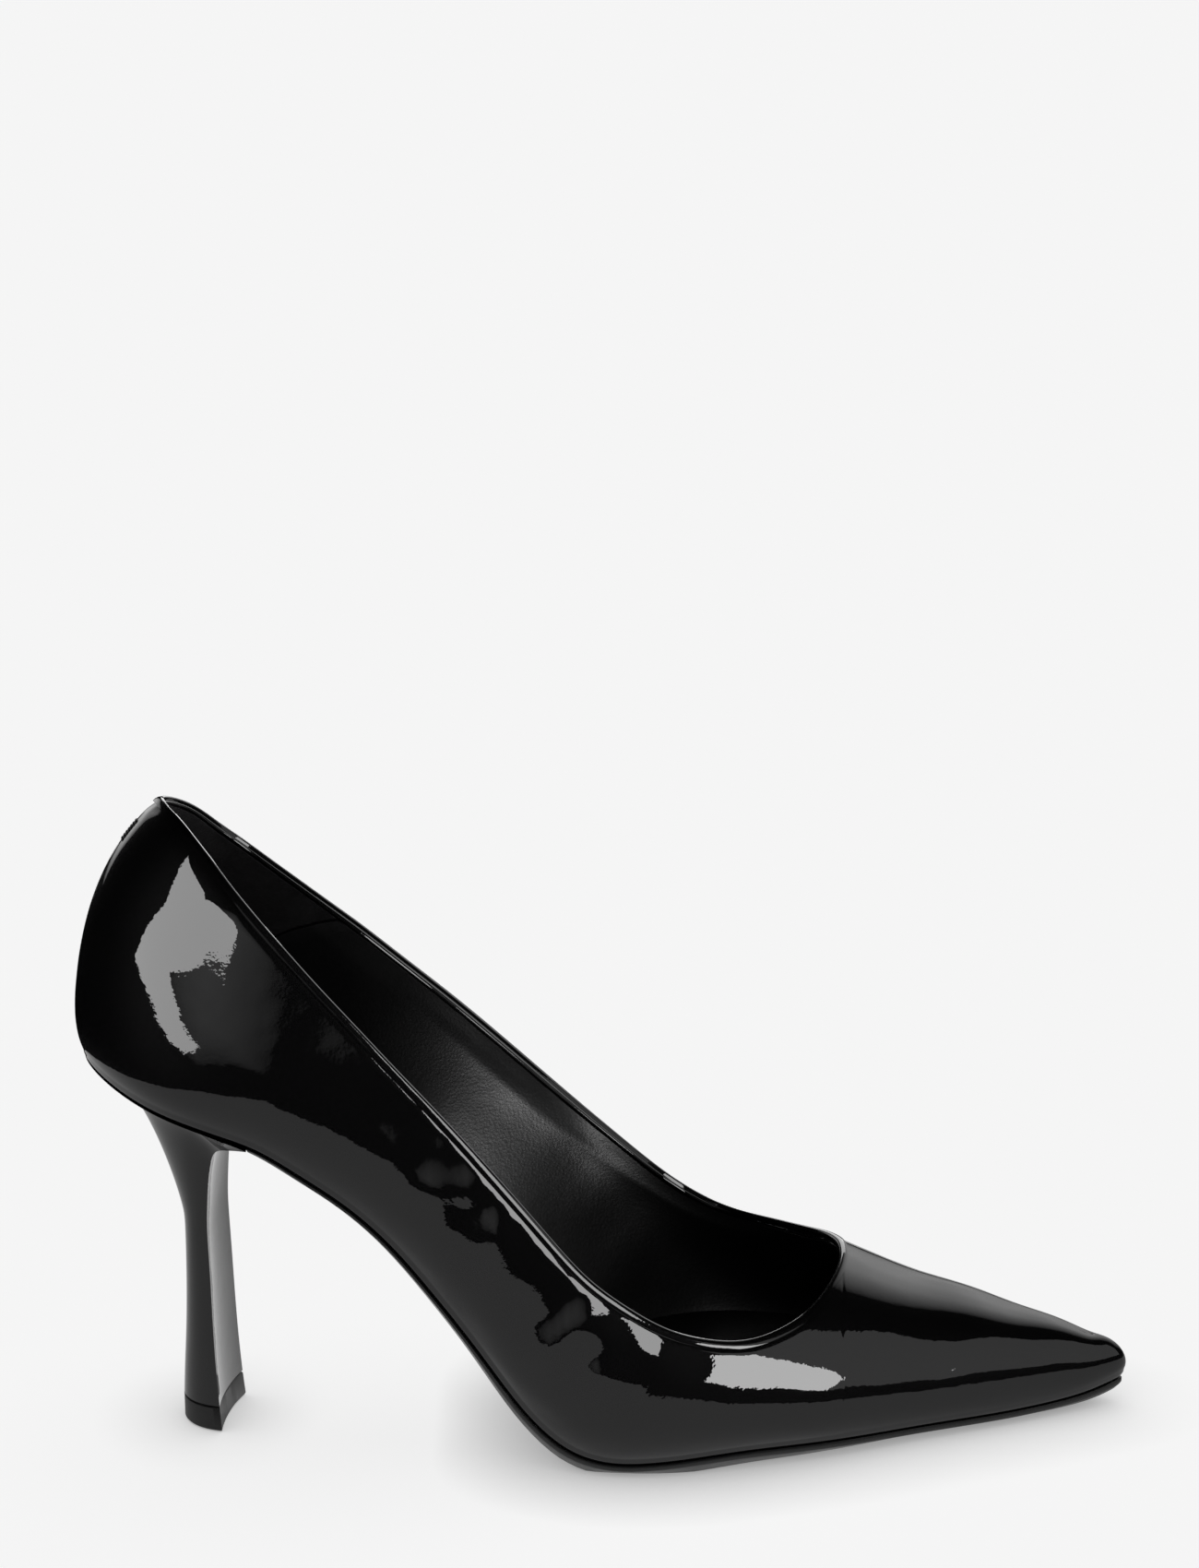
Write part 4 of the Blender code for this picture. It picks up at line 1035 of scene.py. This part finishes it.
def build_floor():
    """Pale glowing floor with a painted shadow near the shoe, and the smaller one that the gloss shows
    instead.
    """
    paint, tree = new_paint("floor_white", (FLOOR_WHITE,) * 3, 1.0, Specular_IOR_Level=0.0,
                                    Emission_Color=(1.0, 1.0, 1.0, 1.0))
    # Painted shadow: the floor's glow dims where ambient occlusion finds the shoe within reach
    painted_shadow = node(tree, "ShaderNodeAmbientOcclusion", samples=16, Distance=PAINTED_SHADOW_REACH)
    feed(tree, Emission_Strength=span(tree, painted_shadow.outputs["AO"], PAINTED_SHADOW_LEVEL * FLOOR_GLOW, FLOOR_GLOW))
    disc("floor", FLOOR_RADIUS, -FLOOR_DEPTH, paint).visible_glossy = False
    dull, _ = new_paint("floor_in_gloss", (FLOOR_WHITE,) * 3, 1.0, Specular_IOR_Level=0.0,
                           Emission_Color=(1.0, 1.0, 1.0, 1.0), Emission_Strength=TABLE_GLOW)
    only_in_gloss(disc("near_floor", TABLE_RADIUS, -TABLE_DEPTH, dull))


def build_surround():
    """Even white walls far behind everything, seen by the camera alone."""
    ends = (-WALLS, WALLS)
    corners = [(x, y, z) for x in ends for y in ends for z in ends]
    sides = [[0, 1, 3, 2], [4, 5, 7, 6], [0, 1, 5, 4], [2, 3, 7, 6], [1, 3, 7, 5]]
    walls = staged("surround", corners, sides, glow_paint("surround_white", WALL_GLOW, 0))
    walls.visible_glossy = False
    walls.visible_diffuse = False
    walls.visible_shadow = False


def glow_paint(name, glow, soft):
    """Evenly bright card, or one that fades from its middle to its rim."""
    paint = bpy.data.materials.new(name)
    paint.use_nodes = True
    tree = paint.node_tree
    tree.nodes.remove(tree.nodes["Principled BSDF"])
    light = node(tree, "ShaderNodeEmission", Strength=glow)
    tree.links.new(light.outputs["Emission"], tree.nodes["Material Output"].inputs["Surface"])
    if soft:
        fade = node(tree, "ShaderNodeAttribute", attribute_name="fade", attribute_type="GEOMETRY")
        rise = node(tree, "ShaderNodeMath", [(0, fade.outputs["Fac"])], operation="POWER")
        rise.inputs[1].default_value = soft
        scale = node(tree, "ShaderNodeMath", [(0, rise.outputs["Value"])], operation="MULTIPLY")
        scale.inputs[1].default_value = glow
        tree.links.new(scale.outputs["Value"], light.inputs["Strength"])
    return paint


def way_to(azimuth, elevation):
    """Direction in the frame; azimuth 0 faces the camera and grows to the camera's right."""
    turn, rise = math.radians(azimuth), math.radians(elevation)
    return np.array([math.sin(turn) * math.cos(rise), -math.cos(turn) * math.cos(rise), math.sin(rise)])


def card(name, origin, distance, outline, glow, soft):
    """Bright card seen in the gloss; its outline is azimuth and elevation seen from an origin.

    A soft value above 0 makes it fade from its middle to its rim.
    """
    centre = tuple(np.mean(outline, axis=0))
    spots = [to_frame(origin) + way_to(*there) * distance for there in outline + [centre]]
    count = len(outline)
    faces = [[k, (k + 1) % count, count] for k in range(count)] if soft else [list(range(count))]
    made = staged(name, spots if soft else spots[:count], faces, glow_paint(name, glow, soft))
    if soft:
        made.data.attributes.new("fade", "FLOAT", "POINT").data[count].value = 1.0
    only_in_gloss(made)


# Cards: point they are seen from (last axes), distance, outline (azimuth, elevation), brightness, fade
CARDS = {
    "counter_card": ((27, -22, 120), 0.50,
                     [(-7, -9), (-18, -6), (-30, -5), (-45, -4), (-38, -8), (-30, -11), (-17, -15),
                      (-28, -16), (-46, -12), (-60, -8), (-74, -2), (-70, 5), (-62, 10), (-66, 22),
                      (-60, 40), (-54, 28), (-44, 18), (-36, 8), (-8, -3)], 6.5, 0),
    "counter_haze": ((27, -22, 120), 0.55,
                     [(-46, -5), (-10, 4), (4, 8), (9, -6), (2, -17), (-20, -18), (-34, -12)], 0.7, 0.5),
    "toe_card": ((150, -31, 26), 0.35,
                 [(32, 3), (35, 9), (39, 15), (44, 18), (50, 15), (52, 8), (46, 2), (41, 4),
                  (36, 1)], 10.5, 0),
    "ridge_card": ((190, 2, 31), 0.80,
                   [(92, 20), (105, 62), (150, 70), (178, 50), (178, -4), (125, -4)], 1.9, 0.7),
    "edge_card": ((84, -28, 84), 0.25,
                  [(12, -6), (20, 7), (34, 20), (50, 30), (56, 24), (42, 8), (28, -6)], 7.5, 0),
    "toe_glow": ((190, -20, 22), 0.60, [(38, 3), (40, 30), (80, 34), (84, 3)], 0.72, 0),
    "back_card": ((40, 30, 70), 0.70, [(-165, -5), (-160, 30), (-125, 35), (-130, 0)], 1.8, 0.5),
    "far_side_card": ((150, 30, 30), 0.70, [(165, 5), (160, 30), (200, 32), (196, 8)], 3.0, 0),
}
# Cards that the linings don't reflect
OUTSIDE_CARDS = ["edge_card", "toe_card", "counter_card"]
# White card lying behind the heel: middle X, Y and Z, half length and width, brightness
HEEL_CARD = (102, 94, -0.05, 68, 97, 1.0)
# Light for the smooth lining: seen from, azimuth, elevation, roll, distance, width, height, brightness
LINING_LIGHT = ((97, 26, 52), 25, -16, -35, 0.05, 0.036, 0.010, 9.0)


def build_lining_light():
    """Light on the smooth lining alone, without a shadow, from the near right."""
    origin, azimuth, elevation, roll, distance, width, height, glow = LINING_LIGHT
    way = Vector(way_to(azimuth, elevation))
    data = bpy.data.lights.new("lining_light", "AREA")
    data.shape = "ELLIPSE"
    data.size = width
    data.size_y = height
    data.energy = glow * math.pi * width * height
    data.use_shadow = False
    light = add_object("lining_light", data)
    light.location = Vector(to_frame(origin)) + way * distance
    spin = Quaternion((0, 0, 1), math.radians(roll))
    light.rotation_euler = (way.to_track_quat("Z", "Y") @ spin).to_euler()
    light.visible_camera = False
    light.visible_diffuse = False
    lit = bpy.data.collections.new("lit_lining")
    lit.objects.link(bpy.data.objects["vamp_lining_skin"])
    light.light_linking.receiver_collection = lit


def build_heel_card():
    """White card lying behind the heel, which shows in the heel's breast."""
    x, y, z, half_x, half_y, glow = HEEL_CARD
    corners = [(-1, -1), (1, -1), (1, 1), (-1, 1)]
    spots = [to_frame((x + half_x * a, y + half_y * b, z)) for a, b in corners]
    only_in_gloss(staged("heel_card", spots, [[0, 1, 2, 3]], glow_paint("heel_card", glow, 0)))


def keep_off_linings(names):
    """Let some cards show only in the patent leather."""
    outer = bpy.data.collections.new("outside_pieces")
    for thing in bpy.data.objects:
        if thing.name == "topline_roll" or (thing.type == "MESH" and "patent" in thing.name):
            outer.objects.link(thing)
    for name in names:
        bpy.data.objects[name].light_linking.receiver_collection = outer


def build_lights():
    """Dim dome, broad weak sun, the cards and the light for the lining."""
    world = bpy.data.worlds.new("studio")
    world.use_nodes = True
    background = world.node_tree.nodes["Background"]
    background.inputs["Color"].default_value = (1.0, 1.0, 1.0, 1.0)
    background.inputs["Strength"].default_value = DOME
    bpy.context.scene.world = world
    world.cycles_visibility.glossy = False
    data = bpy.data.lights.new("sun", "SUN")
    data.energy = SUN
    data.angle = SUN_SPREAD
    sun = add_object("sun", data)
    sun.rotation_euler = (-SUN_TILT, 0, 0)
    sun.visible_glossy = False
    for name, values in CARDS.items():
        card(name, *values)
    build_heel_card()
    keep_off_linings(OUTSIDE_CARDS)
    build_lining_light()


def build_camera():
    """Camera in front of the outer side, looking down a little."""
    data = bpy.data.cameras.new("camera")
    data.lens = CAMERA_LENS
    data.clip_start = 0.01
    camera = add_object("camera", data)
    camera.location = to_frame(CAMERA_SPOT)
    camera.rotation_euler = (math.pi / 2 - CAMERA_DOWN, 0, 0)
    bpy.context.scene.camera = camera


build_camera()
build_floor()
build_surround()

build_upper()
build_linings()
build_binding()
build_back_stitches()
build_footbed()
build_outsole()
build_heel()
finish_hidden_nodes()
build_lights()

bpy.context.scene.view_settings.view_transform = "Standard"
